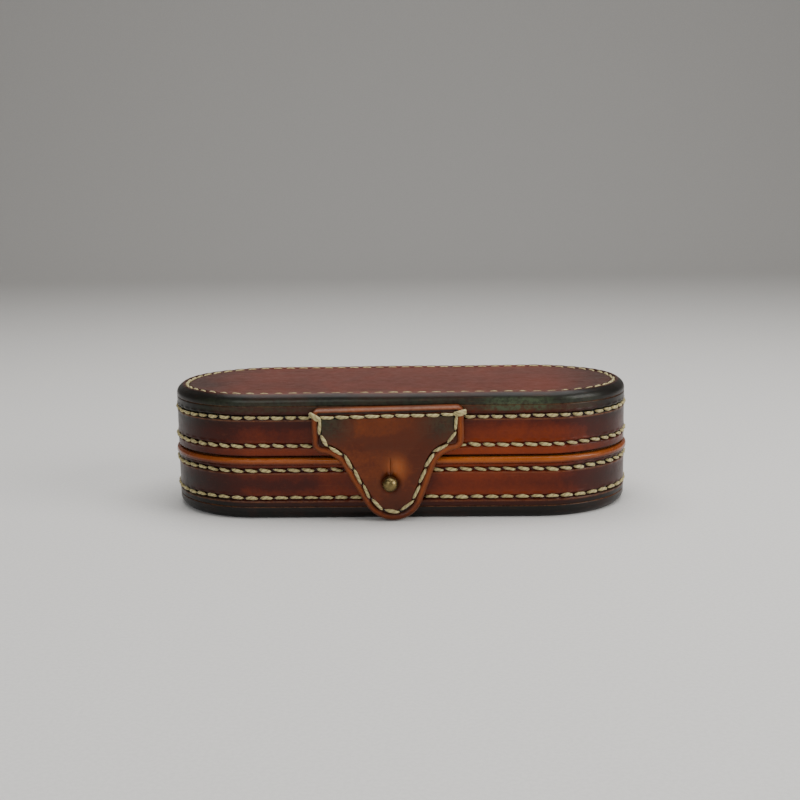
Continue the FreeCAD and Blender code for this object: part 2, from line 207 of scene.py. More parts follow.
def corner(h_centre, z_centre, radius, start, end, steps=8):
    """Profile points of a rounded edge, by angle in degrees."""
    angle = np.radians(np.linspace(start, end, steps))
    return np.stack([h_centre + radius * np.cos(angle), z_centre + radius * np.sin(angle)], -1)


def line(h_start, z_start, h_end, z_end, steps):
    """Evenly spaced profile points from one place to another."""
    return np.stack([np.linspace(h_start, h_end, steps), np.linspace(z_start, z_end, steps)], -1)


# Sewing ---------------------------------------------------------------------------------------------

@dataclass
class Row:
    """A row of saddle stitches that runs round the case."""

    node: str
    half: float                                     # half-width of the outline that it follows
    z: float
    pitch: float
    slant: float                                    # millimetres across the row, from end to end
    bow: float                                      # millimetres across the row, in the middle
    seed: int
    sunk: float = 0.0                               # how much deeper its stitches lie
    flat: bool = False                              # on a panel's face, not on a wall
    hidden_from: float = 0.0                        # the stretch that the flap or the strap covers
    hidden_to: float = 0.0
    hidden_side: int = 0

    def count(self):
        return round(around(self.half)[1] / self.pitch)

    def phase(self):
        """Stitches passed at each column. Whole numbers are awl holes."""
        length, whole = around(self.half)
        return length / whole * self.count()

    def wander(self, turn):
        """How far the row strays from its line."""
        return 0.10 * MM * ripple(turn, self.seed)


WALL_ROWS = {
    "lid_high": Row(
        "lid_wall_upper_stitching", WALL, middle("lid_wall_upper_stitching").z, 4.9 * MM, 0.08, -0.30, 11,
        sunk=0.16 * MM,
        hidden_from=FLAP_X - FLAP_HALF, hidden_to=FLAP_X + FLAP_HALF, hidden_side=-1,
    ),
    "lid_low": Row(
        "lid_wall_lower_stitching", WALL, middle("lid_wall_lower_stitching").z, 5.0 * MM, 0.34, -0.04, 12,
        hidden_from=-STRAP_HALF, hidden_to=STRAP_HALF, hidden_side=1,
    ),
    "base_high": Row(
        "base_wall_upper_stitching", WALL, middle("base_wall_upper_stitching").z, 5.1 * MM, 0.36, 0.02, 13,
        hidden_from=-STRAP_HALF, hidden_to=STRAP_HALF, hidden_side=1,
    ),
    "base_low": Row(
        "base_wall_lower_stitching", WALL, middle("base_wall_lower_stitching").z, 5.4 * MM, 0.05, 0.36, 14,
    ),
}
PANEL_ROWS = {
    "top": Row("lid_top_stitching", PANEL_ROW, TOP, 5.1 * MM, 0.22, 0.0, 15, flat=True),
    "bottom": Row("base_bottom_stitching", PANEL_ROW, 0.0, 5.1 * MM, 0.22, 0.0, 16, flat=True),
}


CHANNEL_DEPTH = 0.50 * MM
CHANNEL_HALF = 0.74 * MM
PIT_DEPTH = 0.34 * MM
PIT_HALF = 0.90 * MM
LIP_RISE = 0.15 * MM
LIP_HALF = 0.50 * MM
LIP_AT = 1.25 * MM                                  # from the row's line to the top of each lip


def pulled_in(across, phase):
    """Height of leather beside a row, by the distance across it and the stitches passed along it.

    A flat-bottomed channel, exp(-x^4), runs along the row. Each hole adds a pit, and between the holes
    the leather swells into lips on both sides. Pits and lips are bell curves across the row.
    """
    hole = np.cos(np.pi * phase) ** 2
    channel = -CHANNEL_DEPTH * np.exp(-((across / CHANNEL_HALF) ** 4))
    pit = -PIT_DEPTH * hole**5 * hill(across, 0, PIT_HALF)
    lips = LIP_RISE * (1 - 0.75 * hole**2) * hill(np.abs(across), LIP_AT, LIP_HALF)
    return channel + pit + lips


STITCH_RINGS = 11
STITCH_SIDES = 8
STITCH_SEAT = 0.16 * MM                             # height of a stitch's middle over the leather
STITCH_ARCH = 0.22 * MM                             # how far it has sunk where it meets its holes
STITCH_DIVE = 0.60 * MM                             # how far its ends go into them
PLY_TWIST = 2.2


def strands(point, along, out, diameter, length, slant, bow, seed, sunk=0.0):
    """One twisted stitch at each point, as rings of a tube.

    Along the stitch t runs from -1 to 1. It arches as t to the 2.6, its ends dive into their holes, it
    slants across the row as -t and bows as 1 - t^2. Its section has two lobes that turn with t, for the
    plies, and shrinks to nothing at both ends. Thickness, length, slant and place vary a little.
    """
    draw = np.random.default_rng(seed)
    n, rings, sides = len(point), STITCH_RINGS, STITCH_SIDES
    vary = 1 + 0.06 * draw.standard_normal((n, 1))
    t = np.linspace(-1, 1, rings)[None, :]
    half = length / 2 * (1 + 0.04 * draw.standard_normal((n, 1)))
    radius = diameter / 2 * vary * np.clip(1 - np.abs(t) ** 5, 0, 1) ** 0.6
    radius = radius * (1.08 - 0.42 * t**2)
    rise = STITCH_SEAT - STITCH_ARCH * np.abs(t) ** 2.6 - STITCH_DIVE * smooth(np.abs(t), 0.6, 1.0) - sunk
    shift = MM * (-slant * t * (1 + 0.15 * draw.standard_normal((n, 1))) + bow * (1 - t**2))
    shift = shift + 0.05 * MM * draw.standard_normal((n, 1))
    spin = np.linspace(0, 2 * np.pi, sides + 1)[None, None, :]
    twist = PLY_TWIST * t[..., None] + draw.random((n, 1, 1)) * np.pi
    ring = radius[..., None] * (1 + 0.08 * np.cos(2 * (spin - twist)))
    side = np.cross(out, along)
    centre = (
        point[:, None]
        + along[:, None] * (t * half)[..., None]
        + out[:, None] * (rise + 0 * half)[..., None]
        + side[:, None] * (shift + 0 * half)[..., None]
    )
    rings_at = (
        centre[:, :, None]
        + out[:, None, None] * (ring * np.sin(spin))[..., None]
        + side[:, None, None] * (ring * np.cos(spin))[..., None]
    )
    u = np.broadcast_to((t * half / MM)[..., None] + np.arange(n)[:, None, None] * 7.3, ring.shape)
    v = np.broadcast_to(spin / (2 * np.pi), ring.shape)
    return rings_at, np.stack([u, v], -1)


# Meshes ---------------------------------------------------------------------------------------------

def grid_faces(rows, columns, wrap_rows, wrap_columns):
    """Four corners of each cell of a grid of points, joined end to end where it wraps."""
    r = np.arange(rows if wrap_rows else rows - 1)[:, None]
    c = np.arange(columns if wrap_columns else columns - 1)[None, :]
    r_next, c_next = (r + 1) % rows, (c + 1) % columns
    cells = [r * columns + c, r * columns + c_next, r_next * columns + c_next, r_next * columns + c]
    return np.stack(np.broadcast_arrays(*cells), -1).reshape(-1, 4)


def make_mesh(name, points, faces, layers=None, uv=None):
    """A smooth-shaded mesh object from points and four-cornered faces. Points that coincide, as at a
    pole, are merged, and the faces are turned outwards."""
    mesh = bpy.data.meshes.new(name)
    mesh.vertices.add(len(points))
    mesh.vertices.foreach_set("co", np.ascontiguousarray(points, np.float32).ravel())
    mesh.loops.add(faces.size)
    mesh.loops.foreach_set("vertex_index", faces.astype(np.int32).ravel())
    mesh.polygons.add(len(faces))
    mesh.polygons.foreach_set("loop_start", np.arange(0, faces.size, 4, dtype=np.int32))
    mesh.update(calc_edges=True)
    for layer, values in (layers or {}).items():
        mesh.attributes.new(layer, "FLOAT", "POINT").data.foreach_set(
            "value", np.ascontiguousarray(np.broadcast_to(values, len(points)), np.float32)
        )
    if uv is not None:
        loops = uv[faces.ravel()]
        mesh.uv_layers.new(name="UVMap").uv.foreach_set("vector", loops.astype(np.float32).ravel())
    work = bmesh.new()
    work.from_mesh(mesh)
    bmesh.ops.remove_doubles(work, verts=work.verts, dist=1e-7)
    bmesh.ops.recalc_face_normals(work, faces=work.faces)
    for face in work.faces:
        face.smooth = True
    work.to_mesh(mesh)
    work.free()
    mesh.validate()
    piece = bpy.data.objects.new(name, mesh)
    bpy.context.scene.collection.objects.link(piece)
    return piece


def make_grid(name, grid, wrap_rows=False, wrap_columns=True, layers=None, uv=None):
    """A mesh from a grid of points of shape (rows, columns, 3)."""
    rows, columns = grid.shape[:2]
    flat_layers = {
        key: np.broadcast_to(value, (rows, columns)).ravel() for key, value in (layers or {}).items()
    }
    return make_mesh(
        name, grid.reshape(-1, 3), grid_faces(rows, columns, wrap_rows, wrap_columns), flat_layers,
        None if uv is None else uv.reshape(-1, 2),
    )


def make_stitches(name, rings_at, uv):
    """One mesh of many stitches from an array of shape (stitches, rings, sides + 1, 3)."""
    n, rings, sides = rings_at.shape[:3]
    cell = grid_faces(rings, sides, False, False)
    faces = (cell[None] + np.arange(n)[:, None, None] * rings * sides).reshape(-1, 4)
    return make_mesh(name, rings_at.reshape(-1, 3), faces, None, uv.reshape(-1, 2))


def dress(piece, material, body=None, replaced=()):
    """Gives a finished piece its material, its body and the nodes it stands for."""
    piece.data.materials.clear()
    piece.data.materials.append(material)
    if replaced:
        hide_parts(*replaced)
    if body:
        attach(piece, body)
    return piece


# Materials ------------------------------------------------------------------------------------------

class Nodes:
    """Short calls for building one node tree."""

    def __init__(self, tree):
        self.tree = tree

    def add(self, kind, settings=None, **inputs):
        node = self.tree.nodes.new(kind)
        for key, value in (settings or {}).items():
            setattr(node, key, value)
        for key, value in inputs.items():
            socket = node.inputs[int(key[1:])] if key[0] == "i" and key[1:].isdigit() else node.inputs[key]
            if isinstance(value, bpy.types.NodeSocket):
                self.tree.links.new(value, socket)
            else:
                socket.default_value = value
        return node

    def math(self, operation, a, b=0.0, clamp=False):
        settings = {"operation": operation, "use_clamp": clamp}
        return self.add("ShaderNodeMath", settings, i0=a, i1=b).outputs[0]

    def blend(self, factor, a, b, mode="MIX"):
        node = self.add("ShaderNodeMix", {"data_type": "RGBA", "blend_type": mode}, i0=factor, i6=a, i7=b)
        return node.outputs[2]

    def remap(self, value, start, end, new_start=0.0, new_end=1.0, ease="SMOOTHSTEP"):
        node = self.add("ShaderNodeMapRange", {"interpolation_type": ease}, i0=value, i1=start, i2=end)
        node.inputs[3].default_value, node.inputs[4].default_value = new_start, new_end
        return node.outputs[0]

    def noise(self, vector, scale, detail=3.0, roughness=0.5, distortion=0.0):
        return self.add(
            "ShaderNodeTexNoise", None, Vector=vector, Scale=scale, Detail=detail, Roughness=roughness,
            Distortion=distortion,
        ).outputs["Fac"]

    def cells(self, vector, scale):
        return self.add("ShaderNodeTexVoronoi", None, Vector=vector, Scale=scale).outputs["Distance"]

    def sum(self, a, b, share=1.0, clamp=False):
        """a plus a share of b."""
        part = b if share == 1.0 else self.math("MULTIPLY", b, share)
        return self.math("ADD", a, part, clamp)

    def place_mm(self):
        """Place on the piece in millimetres."""
        place = self.add("ShaderNodeTexCoord").outputs["Object"]
        return self.add("ShaderNodeVectorMath", {"operation": "SCALE"}, i0=place, i3=1 / MM).outputs[0]


def new_group(name, inputs, outputs):
    """An empty shader node group with named sockets."""
    tree = bpy.data.node_groups.new(name, "ShaderNodeTree")
    for kind, items in (("INPUT", inputs), ("OUTPUT", outputs)):
        for label, socket, *default in items:
            made = tree.interface.new_socket(name=label, in_out=kind, socket_type=f"NodeSocket{socket}")
            if default:
                made.default_value = default[0]
    build = Nodes(tree)
    return build, build.add("NodeGroupInput"), build.add("NodeGroupOutput")


def leather_group():
    """Vegetable-tanned leather. The shade runs from 0, the light middle of a panel, to 1, its burnished
    edge, and also carries painted shade in stitch channels, creases, the strap's bend and round the stud,
    and painted light along the walls and rim. A coarse noise mottles the dye, cells and creases make the
    grain, broken noise rubs the raised places down to bare leather and, on lit edges, lays painted
    highlights in the same colour, and a stretched noise draws fine scratches."""
    build, given, made = new_group(
        "Leather dye and grain",
        [
            ("Shade", "Float", 0.3), ("Raw edge", "Float", 0.0), ("Stain", "Float", 0.0),
            ("Light", "Color", (0.4, 0.15, 0.05, 1)), ("Middle", "Color", (0.2, 0.05, 0.02, 1)),
            ("Dark", "Color", (0.01, 0.006, 0.005, 1)), ("Raw", "Color", (0.5, 0.25, 0.1, 1)),
            ("Stained", "Color", (0.06, 0.08, 0.04, 1)), ("Mottle", "Float", 0.25),
            ("Grain size", "Float", 1.6), ("Gloss", "Float", 0.36),
        ],
        [("Color", "Color"), ("Roughness", "Float"), ("Height", "Float")],
    )
    at = build.place_mm()
    patchy = build.noise(at, 0.05, 3.0, 0.62, 0.8)
    fine = build.noise(at, 0.8, 3.0, 0.65)
    uneven = build.math("MULTIPLY", build.math("SUBTRACT", patchy, 0.5), given.outputs["Mottle"])
    uneven = build.sum(uneven, build.math("SUBTRACT", fine, 0.5), 0.22)
    shade = build.sum(given.outputs["Shade"], uneven, clamp=True)
    first = build.blend(
        build.remap(shade, 0.0, 0.5, ease="LINEAR"), given.outputs["Light"], given.outputs["Middle"]
    )
    second = build.blend(build.remap(shade, 0.45, 1.0, ease="LINEAR"), first, given.outputs["Dark"])
    stained = build.math("MULTIPLY", given.outputs["Stain"], build.remap(fine, 0.3, 0.62, 0.25, 1.0))
    second = build.blend(stained, second, given.outputs["Stained"])
    broken = build.math("MULTIPLY", given.outputs["Raw edge"], build.remap(fine, 0.36, 0.6, 0.3, 1.0))
    drawn_out = build.add("ShaderNodeVectorMath", {"operation": "MULTIPLY"}, i0=at, i1=(0.10, 0.5, 1.6))
    scratch = build.remap(build.noise(drawn_out.outputs[0], 1.1, 2.0, 0.7), 0.62, 0.70)
    worn_and_lit = build.math("MAXIMUM", broken, build.math("MULTIPLY", scratch, 0.07))
    # The bare-leather colour over worn places, and as painted highlight on lit edges and lips.
    color = build.blend(worn_and_lit, second, given.outputs["Raw"])
    pebble = build.cells(at, given.outputs["Grain size"])
    creases = build.noise(at, 0.7, 3.0, 0.75)
    height = build.sum(build.math("MULTIPLY", pebble, 0.5), creases, 0.9)
    height = build.sum(height, scratch, -0.25)
    rubs = build.math("SUBTRACT", build.noise(at, 0.3, 3.0, 0.7), 0.5)
    rough = build.sum(given.outputs["Gloss"], rubs, 0.32)
    rough = build.sum(rough, scratch, 0.12)
    rough = build.sum(rough, given.outputs["Raw edge"], 0.08, clamp=True)
    for label, value in (("Color", color), ("Roughness", rough), ("Height", height)):
        build.tree.links.new(value, made.inputs[label])
    return build.tree


def nap_group():
    """Suede nap: a soft directional mottle, with a fine fibre height."""
    build, given, made = new_group(
        "Suede nap",
        [("Color", "Color", (0.3, 0.2, 0.1, 1)), ("Brushed", "Color", (0.4, 0.3, 0.2, 1))],
        [("Color", "Color"), ("Height", "Float")],
    )
    at = build.place_mm()
    brushed = build.remap(build.noise(at, 0.06, 3.0, 0.55, 0.8), 0.4, 0.62)
    fibre = build.noise(at, 3.2, 2.0, 0.75)
    spot = build.sum(build.math("MULTIPLY", brushed, 0.6), fibre, 0.5, clamp=True)
    color = build.blend(spot, given.outputs["Color"], given.outputs["Brushed"])
    build.tree.links.new(color, made.inputs["Color"])
    build.tree.links.new(fibre, made.inputs["Height"])
    return build.tree


def shader(name, **constants):
    """A material with one Principled BSDF and its constants."""
    material = bpy.data.materials.new(name)
    material.use_nodes = True
    material.node_tree.nodes.clear()
    build = Nodes(material.node_tree)
    surface = build.add("ShaderNodeBsdfPrincipled")
    for key, value in constants.items():
        surface.inputs[key.replace("_", " ")].default_value = value
    build.add("ShaderNodeOutputMaterial", None, Surface=surface.outputs[0])
    return material, build, surface


def add_bump(build, surface, height, strength, distance):
    """Turns a height that varies from 0 to 1 into relief of that distance."""
    bump = build.add("ShaderNodeBump", None, Strength=strength, Distance=distance, Height=height)
    build.tree.links.new(bump.outputs[0], surface.inputs["Normal"])


def place_group(build, tree, **inputs):
    """A node group in a material, with its own values."""
    node = build.add("ShaderNodeGroup", {"node_tree": tree})
    for key, value in inputs.items():
        socket = node.inputs[key.replace("_", " ")]
        if isinstance(value, bpy.types.NodeSocket):
            build.tree.links.new(value, socket)
        else:
            socket.default_value = value
    return node


def layer(build, name):
    """A value painted on the piece's points when it was made."""
    return build.add("ShaderNodeAttribute", {"attribute_name": name}).outputs["Fac"]


def rgba(color):
    return (*color, 1.0)


def leather(name, tree, look, tones, mottle, gloss, grain=1.5, coat=0.25, depth=0.05):
    """Dyed leather in two tones that burnishes to the dark one, with grain a few hundredths deep."""
    light, middle_tone = tones
    material, build, surface = shader(
        name, Coat_Weight=coat, Coat_Roughness=0.18, Coat_IOR=1.4, Specular_IOR_Level=0.20
    )
    # This layer paints bare leather at cut and rubbed places, and painted highlights on lit edges and lips.
    skin = place_group(
        build, tree, Shade=layer(build, "shade"), Raw_edge=layer(build, "raw_and_lit"),
        Stain=layer(build, "stain"), Light=rgba(light), Middle=rgba(middle_tone), Dark=rgba(look.dark),
        Raw=rgba(look.raw_edge), Stained=rgba(look.stain), Mottle=mottle, Grain_size=grain, Gloss=gloss,
    )
    build.tree.links.new(skin.outputs["Color"], surface.inputs["Base Color"])
    build.tree.links.new(skin.outputs["Roughness"], surface.inputs["Roughness"])
    add_bump(build, surface, skin.outputs["Height"], 0.55, depth * MM)
    return material


def make_thread(look):
    """Waxed two-ply linen. Slanting stripes along the stitch's own map draw the twist, with painted shade
    in the grooves between the plies.
    """
    material, build, surface = shader("Waxed linen thread", Specular_IOR_Level=0.35, Sheen_Weight=0.25)
    surface.inputs["Sheen Roughness"].default_value = 0.4
    mapped = build.add("ShaderNodeTexCoord").outputs["UV"]
    along = build.add("ShaderNodeSeparateXYZ", None, Vector=mapped)
    turned = build.sum(build.math("MULTIPLY", along.outputs[0], 0.5), along.outputs[1], 2.0)
    stripe = build.math("SINE", build.math("MULTIPLY", turned, 2 * math.pi))
    at = build.place_mm()
    fibre = build.noise(at, 3.0, 2.0, 0.7)
    tone = build.noise(at, 0.12, 1.0)
    # Painted shade in the grooves between the plies, lighter on their crests.
    ply_shading = build.remap(stripe, -1.0, 0.0, 0.35, 1.0)
    mixed = build.math("MULTIPLY", ply_shading, build.remap(fibre, 0.25, 0.7, 0.6, 1.0))
    color = build.blend(mixed, rgba(look.thread_dark), rgba(look.thread))
    color = build.blend(build.remap(tone, 0.35, 0.7, 0.0, 0.35), color, rgba(look.thread_dark))
    build.tree.links.new(color, surface.inputs["Base Color"])
    build.tree.links.new(build.remap(fibre, 0.2, 0.8, 0.45, 0.7), surface.inputs["Roughness"])
    height = build.sum(build.math("MULTIPLY", stripe, 0.5), fibre, 0.5)
    add_bump(build, surface, height, 0.5, 0.08 * MM)
    return material


def make_brass(look):
    """Antique brass: dark patina that is rubbed through on the ball's crown."""
    material, build, surface = shader("Antique brass", Metallic=1.0)
    at = build.place_mm()
    patina = build.noise(at, 0.55, 4.0, 0.65, 0.4)
    fine = build.noise(at, 3.5, 2.0, 0.7)
    dull = build.remap(build.sum(patina, fine, 0.25), 0.45, 0.8)
    dull = build.sum(dull, layer(build, "raw_and_lit"), -0.8, clamp=True)
    color = build.blend(dull, rgba(look.brass), rgba(look.brass_dark))
    build.tree.links.new(color, surface.inputs["Base Color"])
    build.tree.links.new(build.remap(fine, 0.3, 0.7, 0.26, 0.46), surface.inputs["Roughness"])
    add_bump(build, surface, build.sum(patina, fine, 0.3), 0.4, 0.05 * MM)
    return material


def make_suede(name, tree, color, brushed):
    """Soft suede: the nap's mottle under a faint sheen."""
    material, build, surface = shader(name, Roughness=0.92, Sheen_Weight=0.6, Specular_IOR_Level=0.2)
    surface.inputs["Sheen Roughness"].default_value = 0.35
    nap = place_group(build, tree, Color=rgba(color), Brushed=rgba(brushed))
    build.tree.links.new(nap.outputs["Color"], surface.inputs["Base Color"])
    add_bump(build, surface, nap.outputs["Height"], 0.5, 0.12 * MM)
    return material


def make_inner(name, tree, light, dark, fleck):
    """Leather that is never dyed at the edge, for shells, boards and other carried-over parts."""
    material, build, surface = shader(name, Roughness=0.7, Specular_IOR_Level=0.3)
    nap = place_group(build, tree, Color=rgba(dark), Brushed=rgba(light))
    build.tree.links.new(nap.outputs["Color"], surface.inputs["Base Color"])
    add_bump(build, surface, nap.outputs["Height"], 0.35, fleck * MM)
    return material


MATERIALS = {}


def make_materials(look):
    """Every material of the case, by a short name."""
    skin, nap = leather_group(), nap_group()
    top, wall = (look.panel_light, look.panel_middle), (look.band_light, look.band_middle)
    flap, rim = (look.flap_light, look.flap_middle), (look.rim_highlight, look.rim_middle)
    MATERIALS.update(
        panel=leather("Burnished top leather", skin, look, top, mottle=0.75, gloss=0.38, coat=0.12),
        band=leather("Burnished wall leather", skin, look, wall, mottle=0.55, gloss=0.36, coat=0.08),
        flap=leather("Flap leather", skin, look, flap, mottle=0.50, gloss=0.38, coat=0.12),
        rim=leather(
            "Rim leather", skin, look, rim, mottle=0.30, gloss=0.28, grain=2.2, coat=0.2, depth=0.03
        ),
        strap=leather("Hinge leather", skin, look, wall, mottle=0.30, gloss=0.42),
        thread=make_thread(look),
        brass=make_brass(look),
        suede=make_suede("Suede lining", nap, look.suede, look.suede_brushed),
        shell=make_inner("Undyed shell leather", nap, look.shell_light, look.shell_dark, 0.06),
        board=make_inner("Leather board", nap, look.board_light, look.board_dark, 0.04),
    )


# Settings -------------------------------------------------------------------------------------------

def color_setting(name, description, default):
    return FloatVectorProperty(
        name=name, description=description, subtype="COLOR", size=3, min=0.0, max=1.0, default=default
    )


class CaseColors(bpy.types.PropertyGroup):
    """Dyes and metals of the case, as linear colours."""

    panel_light: color_setting("Top light", "Middle of the top and bottom panels", (0.120, 0.015, 0.003))
    panel_middle: color_setting("Top middle", "Top panel towards its edge", (0.042, 0.006, 0.0015))
    band_light: color_setting("Wall light", "Lightest dye on the walls", (0.200, 0.026, 0.0015))
    band_middle: color_setting("Wall middle", "Dye on most of the walls", (0.048, 0.0045, 0.0008))
    flap_light: color_setting("Flap light", "Lightest dye on the flap", (0.280, 0.062, 0.006))
    flap_middle: color_setting("Flap middle", "Dye on most of the flap", (0.085, 0.014, 0.0016))
    # Painted highlight along the rim's rounded top.
    rim_highlight: color_setting("Rim light", "Top of the rim", (0.330, 0.085, 0.010))
    rim_middle: color_setting("Rim middle", "Foot of the rim", (0.120, 0.020, 0.003))
    # The burnish colour also paints shade in the stitch channels, creases, the strap's bend, the wall ends
    # and round the buttonhole.
    dark: color_setting("Burnish", "Burnished edges", (0.0055, 0.0042, 0.0032))
    # The cut-edge colour also serves as painted highlight on the flap's top bevel, the lid band's top edge
    # and the lips under the rows.
    raw_edge: color_setting("Cut edge", "Cut and creased edges", (0.260, 0.098, 0.036))
    stain: color_setting("Stain", "Green-grey stain on the lid's edge", (0.052, 0.070, 0.036))
    thread: color_setting("Thread", "Waxed linen", (0.500, 0.435, 0.200))
    thread_dark: color_setting("Thread shade", "Between the plies", (0.190, 0.140, 0.060))
    brass: color_setting("Brass", "Rubbed brass", (0.190, 0.140, 0.058))
    brass_dark: color_setting("Patina", "Dark patina on the brass", (0.034, 0.028, 0.014))
    suede: color_setting("Suede", "Lining", (0.190, 0.115, 0.062))
    suede_brushed: color_setting("Suede brushed", "Lining brushed the other way", (0.300, 0.195, 0.115))
    shell_light: color_setting("Shell", "Inner shells", (0.330, 0.175, 0.085))
    shell_dark: color_setting("Shell shade", "Inner shells where dark", (0.190, 0.085, 0.035))
    board_light: color_setting("Board", "Boards under the pads", (0.300, 0.210, 0.130))
    board_dark: color_setting("Board shade", "Boards where dark", (0.200, 0.130, 0.075))
    floor: color_setting("Floor", "Table and backdrop", (0.720, 0.715, 0.705))


class CaseSewing(bpy.types.PropertyGroup):
    """The thread and its stitches."""

    thread_diameter: FloatProperty(
        name="Thread", description="Thickness of the thread", unit="LENGTH", default=1.14 * MM, min=0.2 * MM
    )
    pad_rise: FloatProperty(
        name="Pad rise", description="How far a pad may swell", unit="LENGTH", default=0.9 * MM, min=0.0
    )
    pad_frames: IntProperty(name="Pad frames", description="Steps of the pad simulation", default=16, min=1)


# Top and bottom panels ------------------------------------------------------------------------------

PANEL_ROUND = 3.0 * MM
EDGE_ROUND = 0.35 * MM
OUTSIDE_POINTS = 66                                 # from the middle of the face to the foot of the skirt


def panel_profile(face_z, seam_z, under_z, sign):
    """Half-profile of a moulded panel as (half-width, z), from the middle of its face, over its rounded
    edge, down the skirt, and back under the face to the middle. The sign is 1 on top and -1 below."""
    plain = PANEL_ROW - 3.2 * MM
    parts = [
        line(0, face_z, plain, face_z, 9)[:-1],
        line(plain, face_z, WALL - PANEL_ROUND, face_z, 36)[:-1],
        np.stack([
            WALL - PANEL_ROUND + PANEL_ROUND * np.sin(np.linspace(0, np.pi / 2, 16)),
            face_z - sign * PANEL_ROUND * (1 - np.cos(np.linspace(0, np.pi / 2, 16))),
        ], -1),
        line(WALL, face_z - sign * (PANEL_ROUND + 0.1 * MM), WALL, seam_z + sign * EDGE_ROUND, 5),
        np.stack([
            WALL - EDGE_ROUND * (1 - np.cos(np.linspace(0.3, np.pi / 2, 5))),
            seam_z + sign * EDGE_ROUND * (1 - np.sin(np.linspace(0.3, np.pi / 2, 5))),
        ], -1),
        line(SHELL, seam_z, SHELL, under_z, 2),
        line(SHELL - 4 * MM, under_z, 0, under_z, 4),
    ]
    return np.concatenate(parts)


def panel_grid(profile, seam_z, sign, row, crown):
    """The panel's points: the profile carried round the case, crowned in the middle, with the sewn
    channel pressed into its face and slow unevenness over the rest."""
    half, z = profile[:, :1], profile[:, 1:]
    on_face = smooth(sign * (z - seam_z), 0.2 * MM, 1.2 * MM)
    on_face = on_face * (np.arange(len(profile)) < OUTSIDE_POINTS)[:, None]
    inside = smooth(half, PANEL_ROW - 1 * MM, 0.0)
    across = half - PANEL_ROW - row.wander(TURN)
    lift = pulled_in(across, row.phase()) + crown * inside
    lift = lift + 0.05 * MM * ripple(TURN, 31, (2, 5, 9)) * smooth(half, 2 * MM, 20 * MM)
    lift = lift + 0.28 * MM * hill(half, PANEL_ROW + 1.6 * MM, 0.8 * MM)
    lift = lift * on_face
    grid = carried(half + 0 * lift, z + sign * lift)
    return grid, half + 0 * lift


def lid_edge_tint(grid):
    """Green-grey tint on the lid's edge: faint all along the front and strong in one patch to the right."""
    x, y, z = grid[..., 0], grid[..., 1], grid[..., 2]
    low_edge = smooth(z, TOP_SEAM - 2.6 * MM, TOP_SEAM - 1.6 * MM)
    low_edge = low_edge * smooth(z, TOP - 0.7 * MM, TOP - 2.2 * MM)
    patch = smooth(x, 28 * MM, 36 * MM) * smooth(x, 57 * MM, 50 * MM)
    return (0.30 + 0.65 * patch) * low_edge * smooth(y, -WALL + 12 * MM, -WALL + 2 * MM)


class CASE_OT_panels(bpy.types.Operator):
    """Make the moulded top and bottom panels"""

    bl_idname = "case.panels"
    bl_label = "Panels"

    def execute(self, context):
        self.top()
        self.bottom()
        return {"FINISHED"}

    def top(self):
        """Lightest in the middle, darker towards the ends, burnished over the edge, tinted green-grey at the
        front, with painted shade in the stitch channel.
        """
        profile = panel_profile(TOP, TOP_SEAM, high("lid_shell").z, 1)
        grid, half = panel_grid(profile, TOP_SEAM, 1, PANEL_ROWS["top"], 0.25 * MM)
        z, ends = grid[..., 2], np.abs(grid[..., 0]) - END
        shade = 0.14 + 0.80 * smooth(half, PANEL_ROW + 1.2 * MM, WALL - 1.2 * MM)
        shade = shade + 0.34 * smooth(ends, 0, 27 * MM)
        # Painted shade in the stitch channel round the top's face.
        shade = shade + 0.30 * hill(half, PANEL_ROW, 1.0 * MM) * (z > TOP - 2 * MM)
        raw_and_lit = 0.35 * smooth(z, TOP_SEAM + 0.35 * MM, TOP_SEAM)
        layers = {"shade": shade, "raw_and_lit": raw_and_lit, "stain": lid_edge_tint(grid)}
        piece = make_grid("lid_panel", grid, layers=layers)
        dress(piece, MATERIALS["panel"], "lid", ["lid_top_panel"])

    def bottom(self):
        """Dark, and flat enough to stand on."""
        profile = panel_profile(0.0, BOTTOM_SEAM, low("base_shell").z, -1)
        grid, half = panel_grid(profile, BOTTOM_SEAM, -1, PANEL_ROWS["bottom"], -0.1 * MM)
        grid[..., 2] = np.maximum(grid[..., 2], 0.0)
        shade = 0.45 + 0.55 * smooth(half, PANEL_ROW + 1 * MM, WALL - 2 * MM)
        raw_and_lit = 0.5 * smooth(grid[..., 2], BOTTOM_SEAM - 0.4 * MM, BOTTOM_SEAM)
        piece = make_grid("base_panel", grid, layers={"shade": shade, "raw_and_lit": raw_and_lit})
        dress(piece, MATERIALS["panel"], "base", ["base_bottom_panel"])


# Wall bands and rim ---------------------------------------------------------------------------------

def band_profile(z_low, z_high, round_low, round_high, rows):
    """Cross-section of a wall band, from its inner foot round the outside to its inner head."""
    return np.concatenate([
        [[SHELL, z_low]],
        corner(WALL - round_low, z_low + round_low, round_low, -90, 0, 6),
        line(WALL, z_low + round_low + 0.1 * MM, WALL, z_high - round_high - 0.1 * MM, rows),
        corner(WALL - round_high, z_high - round_high, round_high, 0, 90, 6),
        [[SHELL, z_high]],
    ])


def band_grid(profile, rows, seed):
    """The band's points: the profile carried round, with each row's channel pressed in."""
    half, z = profile[:, :1], profile[:, 1:]
    outside = (half > WALL - 0.15 * MM) * 1.0
    lift = 0.06 * MM * ripple(TURN, seed, (2, 5, 9, 16)) * outside
    for row in rows:
        lift = lift + pulled_in(z - row.z - row.wander(TURN), row.phase()) * outside
    return carried(half + lift, z + 0 * lift)


def burnish_and_side_light(grid):
    """Darker at the rounded ends, as burnish and as painted shade, most of all on the left, and a painted
    highlight right of the middle.
    """
    x = grid[..., 0]
    ends = smooth(np.abs(x), END + 4 * MM, END + 30 * MM)
    return 0.36 * ends + 0.16 * smooth(x, -25 * MM, -60 * MM) - 0.12 * hill(x, 30 * MM, 22 * MM)


